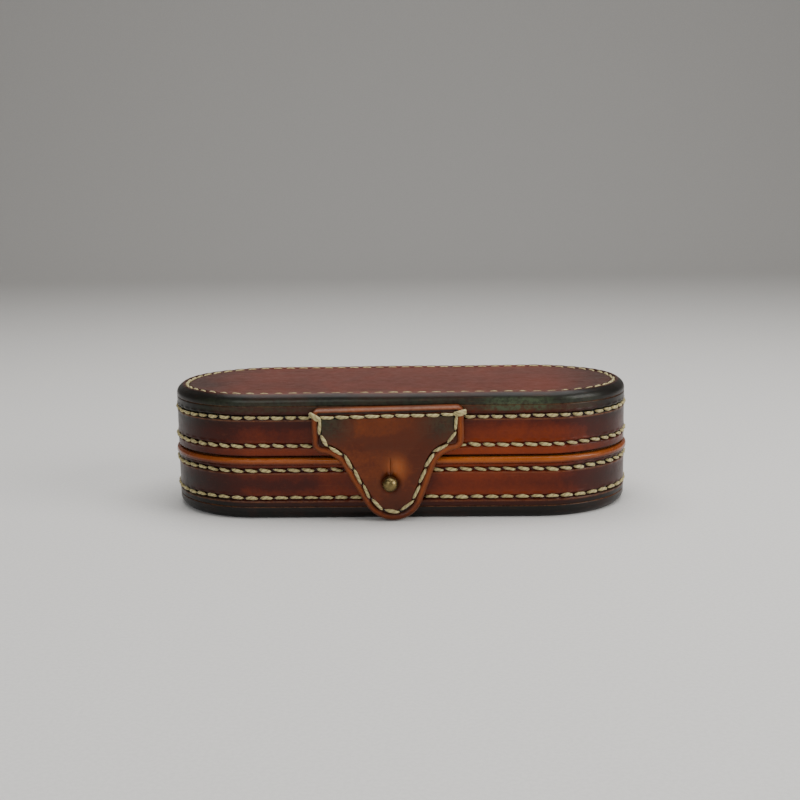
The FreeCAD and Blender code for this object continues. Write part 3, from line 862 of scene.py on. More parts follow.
class CASE_OT_walls(bpy.types.Operator):
    """Make the sewn wall bands of the lid and the base"""

    bl_idname = "case.walls"
    bl_label = "Wall bands"

    def execute(self, context):
        self.lid()
        self.base()
        return {"FINISHED"}

    def lid(self):
        """Darker under the top panel, brighter at the mouth, with painted shade in the rows' channels, a
        lighter cut edge with a painted highlight along the top, and under each row a rubbed lip, lighter as
        wear and as a painted highlight.
        """
        rows = [WALL_ROWS["lid_high"], WALL_ROWS["lid_low"]]
        grid = band_grid(band_profile(LID_EDGE, TOP_SEAM, 0.5 * MM, 0.35 * MM, 80), rows, 21)
        z = grid[..., 2]
        shade = 0.30 + 0.22 * smooth(z, 31 * MM, 36 * MM) + 0.10 * smooth(z, rows[0].z, TOP_SEAM)
        shade = shade - 0.18 * smooth(z, rows[1].z + 3 * MM, rows[1].z - 1 * MM) + burnish_and_side_light(grid)
        shade = shade + 0.25 * hill(z, LID_EDGE, 0.5 * MM)
        # A lighter cut edge along the band's top, with a painted highlight on it.
        raw_and_lit = 0.30 * smooth(z, TOP_SEAM - 0.30 * MM, TOP_SEAM - 0.05 * MM)
        for row, rubbed in zip(rows, (0.55, 0.10)):
            # Painted shade in each row's channel.
            shade = shade + 0.38 * hill(z, row.z, 0.85 * MM)
            # A rubbed lip under each row: lighter as wear, and as a painted highlight.
            raw_and_lit = raw_and_lit + rubbed * hill(z, row.z - 1.35 * MM, 0.22 * MM)
        layers = {"shade": shade, "raw_and_lit": raw_and_lit, "stain": lid_edge_tint(grid)}
        piece = make_grid("lid_band", grid, wrap_rows=True, layers=layers)
        dress(piece, MATERIALS["band"], "lid", ["lid_wall_band"])

    def base(self):
        """Darker at the foot, with painted shade in the rows' channels and a rubbed lip under each row,
        lighter as wear and as a painted highlight.
        """
        rows = [WALL_ROWS["base_high"], WALL_ROWS["base_low"]]
        grid = band_grid(band_profile(BOTTOM_SEAM, RIM_LOW, 0.35 * MM, 0.2 * MM, 76), rows, 22)
        z = grid[..., 2]
        shade = 0.26 + 0.50 * smooth(z, rows[1].z, rows[1].z - 2.5 * MM) + burnish_and_side_light(grid)
        shade = shade + 0.16 * hill(z, (rows[0].z + rows[1].z) / 2, 3.0 * MM)
        raw_and_lit = 0.25 * smooth(z, BOTTOM_SEAM + 0.30 * MM, BOTTOM_SEAM)
        for row in rows:
            # Painted shade in each row's channel.
            shade = shade + 0.38 * hill(z, row.z, 0.85 * MM)
            # A rubbed lip under each row: lighter as wear, and as a painted highlight.
            raw_and_lit = raw_and_lit + 0.40 * hill(z, row.z - 1.30 * MM, 0.25 * MM)
        piece = make_grid("base_band", grid, wrap_rows=True, layers={"shade": shade, "raw_and_lit": raw_and_lit})
        dress(piece, MATERIALS["band"], "base", ["base_wall_band"])


def behind_strap(margin):
    """1 at the columns that the hinge strap covers, 0 elsewhere, easing over 1 mm."""
    reach = smooth(np.abs(SPINE), STRAP_HALF + margin, STRAP_HALF + margin - 0.6 * MM)
    return reach * (OUT_Y > 0.999)


class CASE_OT_rim(bpy.types.Operator):
    """Make the rounded rim and the locating lip inside it"""

    bl_idname = "case.rim"
    bl_label = "Rim and lip"

    def execute(self, context):
        self.rim()
        self.lip()
        return {"FINISHED"}

    def rim(self):
        """A welt that stands proud of the walls, round on top, and is cut back behind the hinge strap."""
        round_top, round_low = 1.15 * MM, 0.5 * MM
        profile = np.concatenate([
            [[SHELL, RIM_LOW]],
            corner(RIM - round_low, RIM_LOW + round_low, round_low, -90, 0, 7),
            line(RIM, RIM_LOW + 0.65 * MM, RIM, MOUTH - round_top, 4),
            corner(RIM - round_top, MOUTH - round_top, round_top, 0, 90, 12),
            [[SHELL + 0.4 * MM, MOUTH], [SHELL, MOUTH - 0.15 * MM]],
        ])
        half, z = profile[:, :1], profile[:, 1:]
        proud = np.maximum(half - WALL, 0)
        wave = 0.05 * MM * ripple(TURN, 41, (3, 8, 14)) * (half > WALL)
        kept = 1 - behind_strap(0.7 * MM)
        grid = carried(half - proud * (1 - kept) + wave * kept - 0.02 * MM * (1 - kept), z + 0 * TURN)
        # A painted highlight along the rounded top, darker towards the foot, with the walls' painted side
        # light.
        shade = 0.10 + 0.50 * smooth(z, MOUTH - 1.0 * MM, RIM_LOW) + 0.6 * burnish_and_side_light(grid)
        piece = make_grid("base_rim", grid, wrap_rows=True, layers={"shade": shade, "raw_and_lit": 0 * shade})
        dress(piece, MATERIALS["rim"], "base", ["base_rim_welt"])

    def lip(self):
        """A standing ring with a half-round top."""
        outer, inner = high("base_locating_lip").y, low("base_locating_lip").z
        top = high("base_locating_lip").z
        thick = outer - high("base_lining").y
        nose = corner(outer - thick / 2, top - thick / 2, thick / 2, 0, 180, 14)
        profile = np.concatenate([
            line(outer, inner, outer, top - thick / 2, 4)[:-1],
            nose,
            line(outer - thick, top - thick / 2, outer - thick, inner, 4)[1:],
        ])
        grid = carried(profile[:, :1] + 0 * TURN, profile[:, 1:] + 0 * TURN)
        # Lighter at the half-round top as a painted highlight, darker below it as painted shade.
        shade = 0.55 - 0.3 * smooth(grid[..., 2], top - 1 * MM, top)
        piece = make_grid("base_lip", grid, wrap_rows=True, layers={"shade": shade, "raw_and_lit": 0 * shade})
        dress(piece, MATERIALS["rim"], "base", ["base_locating_lip"])


# Stitches round the case ----------------------------------------------------------------------------

class CASE_OT_stitches(bpy.types.Operator):
    """Sew the rows of saddle stitches that run round the case"""

    bl_idname = "case.stitches"
    bl_label = "Stitches"

    def execute(self, context):
        sewing = context.scene.case_sewing
        bodies = {"lid_high": "lid", "lid_low": "lid", "base_high": "base", "base_low": "base",
                  "top": "lid", "bottom": "base"}
        for name, row in {**WALL_ROWS, **PANEL_ROWS}.items():
            whole = around(row.half)[1]
            length = (np.arange(row.count()) + 0.5) * whole / row.count()
            point, along, out = on_outline(row.half, length)
            stray = row.wander(length / whole)
            if row.flat:
                up = 1.0 if row.z > 0.01 else -1.0
                point = point + out * stray[:, None]
                point[:, 2] = row.z - up * (0.40 if up > 0 else 0.62) * MM
                out = np.broadcast_to([0.0, 0.0, up], out.shape)
            else:
                point[:, 2] = row.z + stray
            seen = ~(
                (point[:, 0] > row.hidden_from - 1 * MM) & (point[:, 0] < row.hidden_to + 1 * MM)
                & (np.sign(point[:, 1]) == row.hidden_side)
            )
            rings_at, uv = strands(
                point[seen], along[seen], out[seen], sewing.thread_diameter,
                whole / row.count() - 0.35 * MM, row.slant, row.bow, row.seed, row.sunk,
            )
            if name == "bottom":
                rings_at[..., 2] = np.maximum(rings_at[..., 2], 0.02 * MM)
            piece = make_stitches(f"stitches_{name}", rings_at, uv)
            dress(piece, MATERIALS["thread"], bodies[name], [row.node])
        return {"FINISHED"}


# Flap -----------------------------------------------------------------------------------------------

TIP_RADIUS = 11.3 * MM
TAPER = math.radians(65)
HOLLOW_RADIUS = 8.6 * MM
SHOULDER_RADIUS = 4.0 * MM
SHOULDER_Z = 29.0 * MM
ROOT_RADIUS = 2.6 * MM
ROW_INSET = 2.9 * MM
SHAPED_INSET = 3.8 * MM
LINING_THICK = 0.8 * MM
LEAN = 1.7 * MM
TILT = 0.018
U_STITCHES = 15
TOP_STITCHES = 9
BUTTONHOLE_RADIUS = 2.1 * MM
SLIT_TOP = STUD.z + 8.9 * MM
FLAP_COUNTS = {"top": 132, "root": 14, "side": 36, "shoulder": 26, "hollow": 30, "taper": 60, "tip": 84}
FIELD_ROWS = 18                                     # from the buttonhole to the outermost relaxed row
RELAX_ROUNDS = 3000
CREASE_INSET = 1.65 * MM                            # the deep crease along the flap's top edge
BACK_ROUND = 0.45 * MM
HIDDEN_DYE = {"shade": 0.5, "raw_and_lit": 0.0, "stain": 0.0}


def hollow_centre():
    """Centre of the arc that touches both the shoulder's circle and the tapering side."""
    reach = TIP_RADIUS + HOLLOW_RADIUS
    along = np.array([math.cos(TAPER), math.sin(TAPER)])
    across = np.array([math.sin(TAPER), -math.cos(TAPER)])
    start = np.array([0.0, FLAP_LOW + TIP_RADIUS]) + reach * across
    gap = start - [FLAP_HALF - SHOULDER_RADIUS, SHOULDER_Z]
    half = gap @ along
    step = -half - math.sqrt(half**2 - gap @ gap + (HOLLOW_RADIUS + SHOULDER_RADIUS) ** 2)
    return start + step * along


def flap_edge(inset):
    """Points of the flap's edge set in by inset, which may differ by row and column.

    Straight runs are shifted inwards and arcs keep their centres while their radii change, so every
    column stays square to the edge. Columns run along the top from left to right, down the right
    side, round the tip and up the left side.
    """
    hollow = hollow_centre()
    shoulder = np.array([FLAP_HALF - SHOULDER_RADIUS, SHOULDER_Z])
    turn = math.atan2(*(shoulder - hollow)[::-1])
    tip_turn = TAPER - math.pi / 2
    n = FLAP_COUNTS

    def part(count, first, last):
        return np.linspace(first, last, count, endpoint=False)

    def arc(centre_x, centre_z, radius, angle):
        return centre_x + radius * np.cos(angle), centre_z + radius * np.sin(angle)

    inset = np.broadcast_to(inset, (inset.shape[0], sum(n.values()) * 2 - n["top"] - n["tip"]))
    cut = np.cumsum([n["top"], n["root"], n["side"], n["shoulder"], n["hollow"], n["taper"], n["tip"],
                     n["taper"], n["hollow"], n["shoulder"], n["side"], n["root"]])
    d = np.split(inset, cut[:-1], axis=1)

    def half_side(root, side, shoulders, hollows, tapers, flip):
        """One side's five stretches, each run from the top corner down, or up when flipped."""
        def steps(count, first, last):
            run = np.linspace(first, last, count + 1)
            return run[:0:-1] if flip else run[:-1]

        square = np.maximum(ROOT_RADIUS, root)
        a = arc(FLAP_HALF - square, FLAP_TOP - square, np.maximum(ROOT_RADIUS - root, 0),
                steps(n["root"], math.pi / 2, 0))
        square = np.maximum(ROOT_RADIUS, side)
        go = steps(n["side"], 0, 1)
        b = FLAP_HALF - side, (FLAP_TOP - square) * (1 - go) + SHOULDER_Z * go
        c = arc(*shoulder, SHOULDER_RADIUS - shoulders, steps(n["shoulder"], 0, turn - math.pi))
        e = arc(*hollow, HOLLOW_RADIUS + hollows, steps(n["hollow"], turn, TAPER + math.pi / 2))
        go = steps(n["taper"], 0, 1)
        upper = arc(*hollow, HOLLOW_RADIUS + tapers, TAPER + math.pi / 2)
        lower = arc(0, FLAP_LOW + TIP_RADIUS, TIP_RADIUS - tapers, tip_turn)
        f = upper[0] * (1 - go) + lower[0] * go, upper[1] * (1 - go) + lower[1] * go
        return [np.stack(np.broadcast_arrays(*p), -1) for p in (a, b, c, e, f)]

    top = part(n["top"], -1, 1) * (FLAP_HALF - np.maximum(ROOT_RADIUS, d[0])), FLAP_TOP - d[0]
    right = half_side(d[1], d[2], d[3], d[4], d[5], False)
    tip = arc(0, FLAP_LOW + TIP_RADIUS, TIP_RADIUS - d[6], part(n["tip"], tip_turn, -math.pi - tip_turn))
    left = half_side(d[11], d[10], d[9], d[8], d[7], True)[::-1]
    for piece in left:
        piece[..., 0] *= -1
    stretches = [np.stack(np.broadcast_arrays(*top), -1), *right,
                 np.stack(np.broadcast_arrays(*tip), -1), *left]
    edge = np.concatenate(stretches, axis=1)
    return askew(edge)


def askew(point):
    """The hand-cut flap hangs a little crooked: it tilts up to the right and its tip leans over."""
    x = point[..., 0] + LEAN * smooth(point[..., 1], SHOULDER_Z, FLAP_LOW)
    drop = smooth(point[..., 1], FLAP_LOW, 12 * MM)
    return np.stack([x, point[..., 1] + (TILT * point[..., 0] + 0.2 * MM) * drop], -1)


def keyhole(columns):
    """Outline of the buttonhole: down the right of the slit, round the hole and up the left, starting
    at the top of the slit. The first and last eighth of the columns follow the slit."""
    radius, gap = BUTTONHOLE_RADIUS, 0.05 * MM
    on_slit = columns // 8
    open_angle = math.asin(gap / radius)
    go = np.linspace(0, 1, on_slit, endpoint=False)
    start_z = STUD.z + radius * math.cos(open_angle)
    down = np.stack([gap * np.minimum(1, go * 9), SLIT_TOP + (start_z - SLIT_TOP) * go], -1)
    angle = np.linspace(open_angle, 2 * math.pi - open_angle, columns - 2 * on_slit, endpoint=False)
    hole = np.stack([radius * np.sin(angle), STUD.z + radius * np.cos(angle)], -1)
    up = (down * [-1, 1])[::-1]
    edge = np.concatenate([down, hole, up])
    edge[:, 0] += STUD.x - FLAP_X
    return edge


def relax(grid, rounds):
    """Evens out a grid between its first and last rows without folds. Columns wrap.

    Each point moves to the weighted mean of its neighbours, less a share of the skew of its diagonal
    ones. Its neighbours along the row weigh as the squared spacing of the rows there, and the other two
    as the squared spacing of the columns, which is the usual elliptic smoothing of a mapped grid.
    """
    grid = grid / MM
    for _ in range(rounds):
        ahead, behind = np.roll(grid, -1, axis=1), np.roll(grid, 1, axis=1)
        along = (ahead - behind)[1:-1] / 2
        across = (grid[2:] - grid[:-2]) / 2
        row_weight, column_weight, skew = (
            (u * v).sum(-1, keepdims=True) for u, v in ((across, across), (along, along), (along, across))
        )
        corners = ahead[2:] - behind[2:] - ahead[:-2] + behind[:-2]
        total = row_weight * (ahead + behind)[1:-1] + column_weight * (grid[2:] + grid[:-2])
        mean = (total - skew * corners / 2) / (2 * (row_weight + column_weight) + 1e-12)
        grid[1:-1] += 0.7 * (mean - grid[1:-1])
    return grid * MM


def edge_length(edge):
    """Length along a closed edge at each of its points, and its whole length."""
    steps = np.linalg.norm(np.roll(edge, -1, axis=0) - edge, axis=1)
    return np.cumsum(steps) - steps, steps.sum()


def top_share():
    """How far each column of the flap belongs to its top edge, from 0 to 1."""
    edge = flap_edge(np.zeros((1, 1)))[0]
    return smooth(edge[:, 1], FLAP_TOP - 3.0 * MM, FLAP_TOP - 0.3 * MM) * smooth(
        FLAP_HALF - np.abs(edge[:, 0]), 0.2 * MM, 2.6 * MM
    )


def flap_seam():
    """The line of the flap's seam, and the columns at which its U starts and ends."""
    edge = flap_edge(np.full((1, 1), ROW_INSET))[0]
    n = FLAP_COUNTS
    first = n["top"] + n["root"] // 2
    last = len(edge) - n["root"] // 2
    return edge, first, last


def seam_phase():
    """Stitches passed at each column of the flap's edge, counted on the U and on the top apart."""
    edge, first, last = flap_seam()
    length, whole = edge_length(edge)
    u = (length - length[first]) / (length[last] - length[first]) * U_STITCHES
    top = (np.mod(length - length[last], whole)) / np.mod(length[first] - length[last], whole) * TOP_STITCHES
    on_u = (np.arange(len(edge)) >= first) & (np.arange(len(edge)) <= last)
    return np.where(on_u, u, top)


def flap_face(wide, deep):
    """The outer face and its rounded edge: points as (x, z), how far each is set in, and how far back.

    Near the edge every row is the outline set in by its distance, and the rest is relaxed between the
    last of those and the buttonhole. The edge is an elliptic quarter turn, wide across and deep back.
    """
    columns = wide.shape[-1]
    alpha = np.linspace(0, np.pi / 2, 13)[:, None]
    share = np.linspace(0, 1, 30)[:, None]
    flat = (SHAPED_INSET + (wide - SHAPED_INSET) * share)[:-1]
    inset = np.concatenate([flat, wide * (1 - np.sin(alpha))])
    drop = np.concatenate([0 * flat, deep * (1 - np.cos(alpha))])
    rim = flap_edge(inset)
    start = np.roll(keyhole(columns), FLAP_COUNTS["top"] // 2, axis=0)
    go = np.linspace(0, 1, FIELD_ROWS)[:, None, None]
    field = relax(start * (1 - go) + rim[0] * go, RELAX_ROUNDS)
    inset = np.concatenate([np.full((FIELD_ROWS - 1, columns), SHAPED_INSET), inset])
    drop = np.concatenate([np.zeros((FIELD_ROWS - 1, columns)), drop])
    return np.concatenate([field[:-1], rim]), inset, drop


def flap_relief(x, z, inset, off, on_top):
    """How far the face stands out: the pressed seam, two creased lines, the soft middle, a dimple with
    a ring about it at the stud, the slit over it, and a slow sway."""
    press = pulled_in(inset - ROW_INSET, seam_phase()) * smooth(inset, SHAPED_INSET, SHAPED_INSET - 0.6 * MM)
    crease = -0.16 * MM * hill(inset, ROW_INSET - 1.15 * MM, 0.22 * MM)
    crease = crease - 0.42 * MM * on_top * hill(inset, CREASE_INSET, 0.32 * MM)
    puff = 0.22 * MM * smooth(inset, ROW_INSET + 0.2 * MM, SHAPED_INSET)
    dimple = -0.30 * MM * hill(off, 1.6 * MM, 1.5 * MM) + 0.14 * MM * hill(off, 4.4 * MM, 1.2 * MM)
    slit = -0.16 * MM * hill(x, STUD.x, 0.32 * MM) * smooth(z, SLIT_TOP + 0.8 * MM, SLIT_TOP - 0.5 * MM)
    slit = slit * (z > STUD.z)
    sway = 0.10 * MM * np.sin(x / (7 * MM) + 0.6) * np.sin(z / (6 * MM))
    return press + crease + puff + dimple + slit + sway


def flap_dye_and_light(x, z, inset, off, on_top):
    """The face's painted layers: painted shade in the seam's channel and the top crease, stained upper
    corners, a pale scuffed patch over the stud, a painted shadow in a ring about the buttonhole, a darker
    tip, and painted highlights on the top bevel, the rounded edge strip and the rubbed lip under the root
    row."""
    corners = smooth(z, 25 * MM, 36 * MM) * smooth(np.abs(x - FLAP_X), 8 * MM, 22 * MM)
    corners = corners * (inset > ROW_INSET + 0.3 * MM)
    patch = hill(np.hypot(x - STUD.x - 2.6 * MM, (z - STUD.z - 5.0 * MM) / 1.25), 0, 3.0 * MM)
    # The cut edge is burnished darker, and painted shade lies in the seam's channel.
    shade = 0.34 + 0.16 * hill(inset, 0.0, 0.8 * MM) + 0.42 * hill(inset, ROW_INSET, 0.85 * MM)
    # Stained corners, a pale scuffed patch, and a painted shadow in a ring about the buttonhole.
    shade = shade + 0.42 * corners - 0.45 * patch + 0.45 * hill(off, BUTTONHOLE_RADIUS, 1.2 * MM)
    shade = shade + 0.22 * smooth(z, STUD.z - 1 * MM, FLAP_LOW)
    # Painted shade in the crease along the top edge.
    shade = shade + 0.90 * on_top * hill(inset, CREASE_INSET, 0.34 * MM)
    # Painted highlight on the rounded edge strip outside the seam.
    shade = shade - 0.14 * (1 - on_top) * hill(inset, 1.2 * MM, 0.6 * MM)
    raw_and_lit = 0.20 * hill(inset, 0.1 * MM, 0.5 * MM) * (1 - on_top)
    # Painted highlight on the rounded bevel of the top edge, and the pale scuffed patch.
    raw_and_lit = raw_and_lit + 0.42 * hill(inset, 0.6 * MM, 0.7 * MM) * on_top + 0.40 * patch
    # A rubbed lip under the root row: lighter as wear, and as a painted highlight.
    raw_and_lit = raw_and_lit + 0.30 * hill(inset, ROW_INSET + 1.25 * MM, 0.25 * MM) * on_top
    return {"shade": np.clip(shade, 0, 1), "raw_and_lit": np.clip(raw_and_lit, 0, 1), "stain": 0.35 * corners}


def flap_grid():
    """Points of the flap as a closed grid, its painted layers, and the points of its lining.

    Rows run from the buttonhole's rim over the outer face to the edge, round the edge, and back over
    the inner face to the hole. The inner face steps back to the lid's wall above the fold.
    """
    on_top = top_share()
    face, inset, drop = flap_face((0.85 + 0.95 * on_top) * MM, (0.85 + 2.15 * on_top) * MM)
    x, z = face[..., 0] + FLAP_X, face[..., 1]
    off = np.hypot(x - STUD.x, z - STUD.z)
    outer = np.stack([x, FLAP_FACE + drop - flap_relief(x, z, inset, off, on_top), z], -1)
    hide_back = FLAP_BACK - LINING_THICK
    step = smooth(z, FOLD_TOP - 0.4 * MM, FOLD_TOP + 1.6 * MM)
    back = hide_back + (high("flap_root_filler").y - hide_back) * step
    edge = outer[-1]
    side_y = np.minimum(edge[:, 1] + 0.4 * MM, back[-1] - BACK_ROUND)
    side = np.stack([edge[:, 0], side_y, edge[:, 2]], -1)
    turn = np.linspace(0.3, 1, 4)[:, None] * np.pi / 2
    pulled = flap_edge(BACK_ROUND * (1 - np.cos(turn)))
    close = back[-1] - BACK_ROUND * (1 - np.sin(turn))
    turn_in = np.stack([pulled[..., 0] + FLAP_X, close, pulled[..., 1]], -1)
    inside = np.stack([x, back, z], -1)[:-9:2][::-1]
    wall = np.stack([outer[0][:, 0], (outer[0][:, 1] + back[0]) / 2, outer[0][:, 2]], -1)
    grid = np.concatenate([outer, side[None], turn_in, inside, wall[None]])
    more = ((0, len(grid) - len(outer)), (0, 0))
    # The face's dye together with its painted shade and highlights.
    dye = flap_dye_and_light(x, z, inset, off, on_top)
    layers = {name: np.pad(dye[name], more, constant_values=hidden) for name, hidden in HIDDEN_DYE.items()}
    return grid, layers, lining_grid(x[:-12:2], z[:-12:2], hide_back)


def lining_grid(x, z, front):
    """A thin sheet on the flap's back: the face's own rows, in front and behind, with its edge rounded
    as half a sine wave."""
    go = np.linspace(0, 1, 5)[:, None]
    depth = LINING_THICK * go
    bulge = 0.25 * MM * np.sin(go * np.pi)
    centre = np.array([x.mean(), z.mean()])
    way = np.stack([x[-1], z[-1]], -1) - centre
    way = way / np.linalg.norm(way, axis=1, keepdims=True)
    rim = np.stack([x[-1] + bulge * way[:, 0], front + depth + 0 * x[-1], z[-1] + bulge * way[:, 1]], -1)
    sheets = [np.stack([x, np.full_like(x, y), z], -1) for y in (front - 0.05 * MM, FLAP_BACK)]
    return np.concatenate([sheets[0][:-1], rim, sheets[1][::-1][1:]])


def blend_flap(piece):
    """Bakes a piece's placement into its points."""
    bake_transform(piece)


class CASE_OT_flap(bpy.types.Operator):
    """Make the flap, its seam and its bar tacks"""

    bl_idname = "case.flap"
    bl_label = "Flap"

    def execute(self, context):
        sewing = context.scene.case_sewing
        grid, layers, lining = flap_grid()
        piece = make_grid("flap", grid, wrap_rows=True, layers=layers)
        dress(piece, MATERIALS["flap"], None,
              ["flap_outer", "flap_fold", "flap_root_outer", "flap_root_filler"])
        blend_flap(piece)
        piece = make_grid("flap_suede", lining, wrap_rows=True)
        dress(piece, MATERIALS["suede"], None, ["flap_lining"])
        blend_flap(piece)
        edge, first, last = flap_seam()
        length, _ = edge_length(edge)
        stops = np.linspace(length[first], length[last], U_STITCHES + 1)
        at = np.interp(stops, length[first:last + 1], np.arange(first, last + 1))
        point = np.stack([np.interp(at, np.arange(len(edge)), edge[:, k]) for k in range(2)], -1)
        self.sew("stitches_flap", point, sewing, 0.30, 0.0, 51, ["flap_edge_stitching"], blended=True)
        x = np.linspace(-1, 1, TOP_STITCHES + 1) * (FLAP_HALF - ROW_INSET)
        point = askew(np.stack([x, np.full_like(x, FLAP_ROW_Z)], -1))
        self.sew("stitches_flap_root", point, sewing, 0.12, -0.12, 52, ["flap_root_stitching"])
        self.tacks(sewing)
        return {"FINISHED"}

    def sew(self, name, holes, sewing, slant, bow, seed, replaced, blended=False):
        """Stitches between neighbouring holes on the flap's face."""
        centre = (holes[1:] + holes[:-1]) / 2
        reach = holes[1:] - holes[:-1]
        span = np.linalg.norm(reach, axis=1)
        along = reach / span[:, None]
        y = np.full(len(centre), FLAP_FACE - 0.05 * MM)
        point = np.stack([centre[:, 0] + FLAP_X, y, centre[:, 1]], -1)
        direction = np.stack([along[:, 0], 0 * span, along[:, 1]], -1)
        out = np.broadcast_to([0.0, -1.0, 0.0], point.shape)
        rings_at, uv = strands(
            point, direction, out, sewing.thread_diameter, span[:, None] + 0.1 * MM, slant, bow, seed
        )
        piece = make_stitches(name, rings_at, uv)
        dress(piece, MATERIALS["thread"], None if blended else "lid", replaced)
        if blended:
            blend_flap(piece)

    def tacks(self, sewing):
        """Two strands at each upper corner that climb from the lid's wall over the flap's edge."""
        wall, face = -WALL / MM, FLAP_FACE / MM
        routes = []
        for side, rise, fall in ((-1, 0.8, -0.6), (1, 0.5, 0.0)):
            for lift, spread in ((0.0, -0.3), (0.35, 0.45)):
                # Across from the flap's edge, depth, and height over the row, in millimetres
                across, depth, height = np.array([
                    [0.3, wall + 0.5, rise - 0.9],
                    [0.4, wall - 1.6, rise - 0.5 + spread],
                    [0.35, face + 0.9, rise + spread],
                    [-0.7, face - 0.40 - lift, rise * 0.8 + spread],
                    [-2.2, face - 0.35 - lift, fall * 0.7 + spread],
                    [-3.6, face + 0.6, fall + spread * 0.2],
                ]).T * MM
                z = FLAP_ROW_Z + 0.2 * MM + TILT * side * FLAP_HALF
                routes.append(np.stack([FLAP_X + side * (FLAP_HALF + across), depth, z + height], -1))
        tubes, maps = zip(*(tube(route, sewing.thread_diameter * 0.56) for route in routes))
        piece = make_stitches("bar_tacks", np.array(tubes), np.array(maps))
        dress(piece, MATERIALS["thread"], "lid", ["flap_bar_tacks"])


def tube(route, radius, rings=22, sides=10):
    """A twisted round strand along a few points: the straight runs between them are cut in even steps
    and rounded by a bell-shaped running mean, and the two lobes of the section turn with the length."""
    steps = np.linalg.norm(np.diff(route, axis=0), axis=1)
    reach = np.concatenate([[0], np.cumsum(steps)])
    dense = np.linspace(0, reach[-1], 200)
    curve = np.stack([np.interp(dense, reach, route[:, k]) for k in range(3)], -1)
    kernel = np.hanning(41)
    kernel /= kernel.sum()
    padded = np.concatenate([np.repeat(curve[:1], 20, 0), curve, np.repeat(curve[-1:], 20, 0)])
    curve = np.stack([np.convolve(padded[:, k], kernel, "valid") for k in range(3)], -1)
    at = np.linspace(0, 199, rings)
    centre = np.stack([np.interp(at, np.arange(200), curve[:, k]) for k in range(3)], -1)
    along = np.gradient(centre, axis=0)
    along /= np.linalg.norm(along, axis=1)[:, None]
    up = np.array([0.0, 0.0, 1.0])
    side = np.cross(along, up)
    side /= np.linalg.norm(side, axis=1)[:, None]
    over = np.cross(side, along)
    t = np.linspace(-1, 1, rings)[:, None]
    spin = np.linspace(0, 2 * np.pi, sides + 1)[None, :]
    ring = radius * np.clip(1 - np.abs(t) ** 12, 0, 1) ** 0.5 * (1 + 0.12 * np.cos(2 * (spin - 3.4 * t)))
    grid = centre[:, None] + side[:, None] * (ring * np.cos(spin))[..., None]
    grid = grid + over[:, None] * (ring * np.sin(spin))[..., None]
    u = np.broadcast_to(at[:, None] / 199 * reach[-1] / MM, ring.shape)
    return grid, np.stack([u, np.broadcast_to(spin / (2 * np.pi), ring.shape)], -1)


# Stud -----------------------------------------------------------------------------------------------

class CASE_OT_stud(bpy.types.Operator):
    """Make the turned ball stud"""

    bl_idname = "case.stud"
    bl_label = "Ball stud"

    def execute(self, context):
        start = high("stud_post").y
        ball = BALL_RADIUS
        neck, flange, stem = 1.6 * MM, 2.9 * MM, 2.1 * MM
        angle = np.linspace(math.asin(neck / ball), math.pi, 30)
        parts = [
            np.array([[0.0, start], [stem, start], [stem, -WALL + 0.02 * MM], [flange - 0.2 * MM, -WALL],
                      [flange, -WALL - 0.2 * MM], [flange, -WALL - 0.5 * MM],
                      [flange - 0.3 * MM, -WALL - 0.8 * MM], [neck + 0.5 * MM, -WALL - 0.85 * MM],
                      [neck, -WALL - 1.4 * MM]]),
            np.stack([ball * np.sin(angle), BALL_Y + ball * np.cos(angle)], -1),
        ]
        profile = np.concatenate(parts)
        blunt = BALL_Y - 0.93 * ball
        profile[:, 1] = np.where(profile[:, 1] < blunt, blunt + (profile[:, 1] - blunt) * 0.45, profile[:, 1])
        spin = np.linspace(0, 2 * np.pi, 72, endpoint=False)
        radius, y = profile[:, :1], profile[:, 1:]
        radius = radius * (1 + 0.012 * np.sin(3 * spin + 0.8) * (y < -WALL - 3 * MM))
        grid = np.stack([STUD.x + radius * np.cos(spin), y + 0 * radius, STUD.z + radius * np.sin(spin)], -1)
        crown = smooth(-y, -BALL_Y + 0.2 * ball, -BALL_Y + ball)
        piece = make_grid("stud_ball", grid, layers={"shade": 0 * radius, "raw_and_lit": crown + 0 * radius})
        dress(piece, MATERIALS["brass"], "base", ["stud_post"])
        return {"FINISHED"}


# Hinge strap ----------------------------------------------------------------------------------------

STRAP_CORNER = 4.0 * MM
STRAP_INSET = 2.8 * MM
STRAP_STITCH = 5.2 * MM


def strap_edge(inset, counts=(230, 16, 44)):
    """Rounded rectangle set in by inset, as columns along the top, right, bottom and left."""
    long, bend, short = counts
    mid = (STRAP_LOW + STRAP_TOP) / 2
    tall = (STRAP_TOP - STRAP_LOW) / 2
    hub = np.maximum(STRAP_CORNER, inset)
    radius = np.maximum(STRAP_CORNER - inset, 0)
    stretches = []
    runs = (long, 1, 0), (short, 0, 1), (long, -1, 0), (short, 0, -1)
    for quarter, (count, wide_x, wide_z) in enumerate(runs):
        go = np.linspace(-1, 1, count, endpoint=False)
        sx, sz = ((0, 1), (1, 0), (0, -1), (-1, 0))[quarter]
        x = go * wide_x * (STRAP_HALF - hub) + sx * (STRAP_HALF - inset)
        z = -go * wide_z * (tall - hub) + sz * (tall - inset)
        stretches.append(np.stack([x + 0 * inset, z + 0 * inset], -1))
        angle = np.pi / 2 - quarter * np.pi / 2 - np.linspace(0, np.pi / 2, bend, endpoint=False)
        cx, cz = ((1, 1), (1, -1), (-1, -1), (-1, 1))[quarter]
        x = cx * (STRAP_HALF - hub) + radius * np.cos(angle)
        z = cz * (tall - hub) + radius * np.sin(angle)
        stretches.append(np.stack([x + 0 * inset, z + 0 * inset], -1))
    edge = np.concatenate(stretches, axis=1)
    edge[..., 1] += mid
    return edge


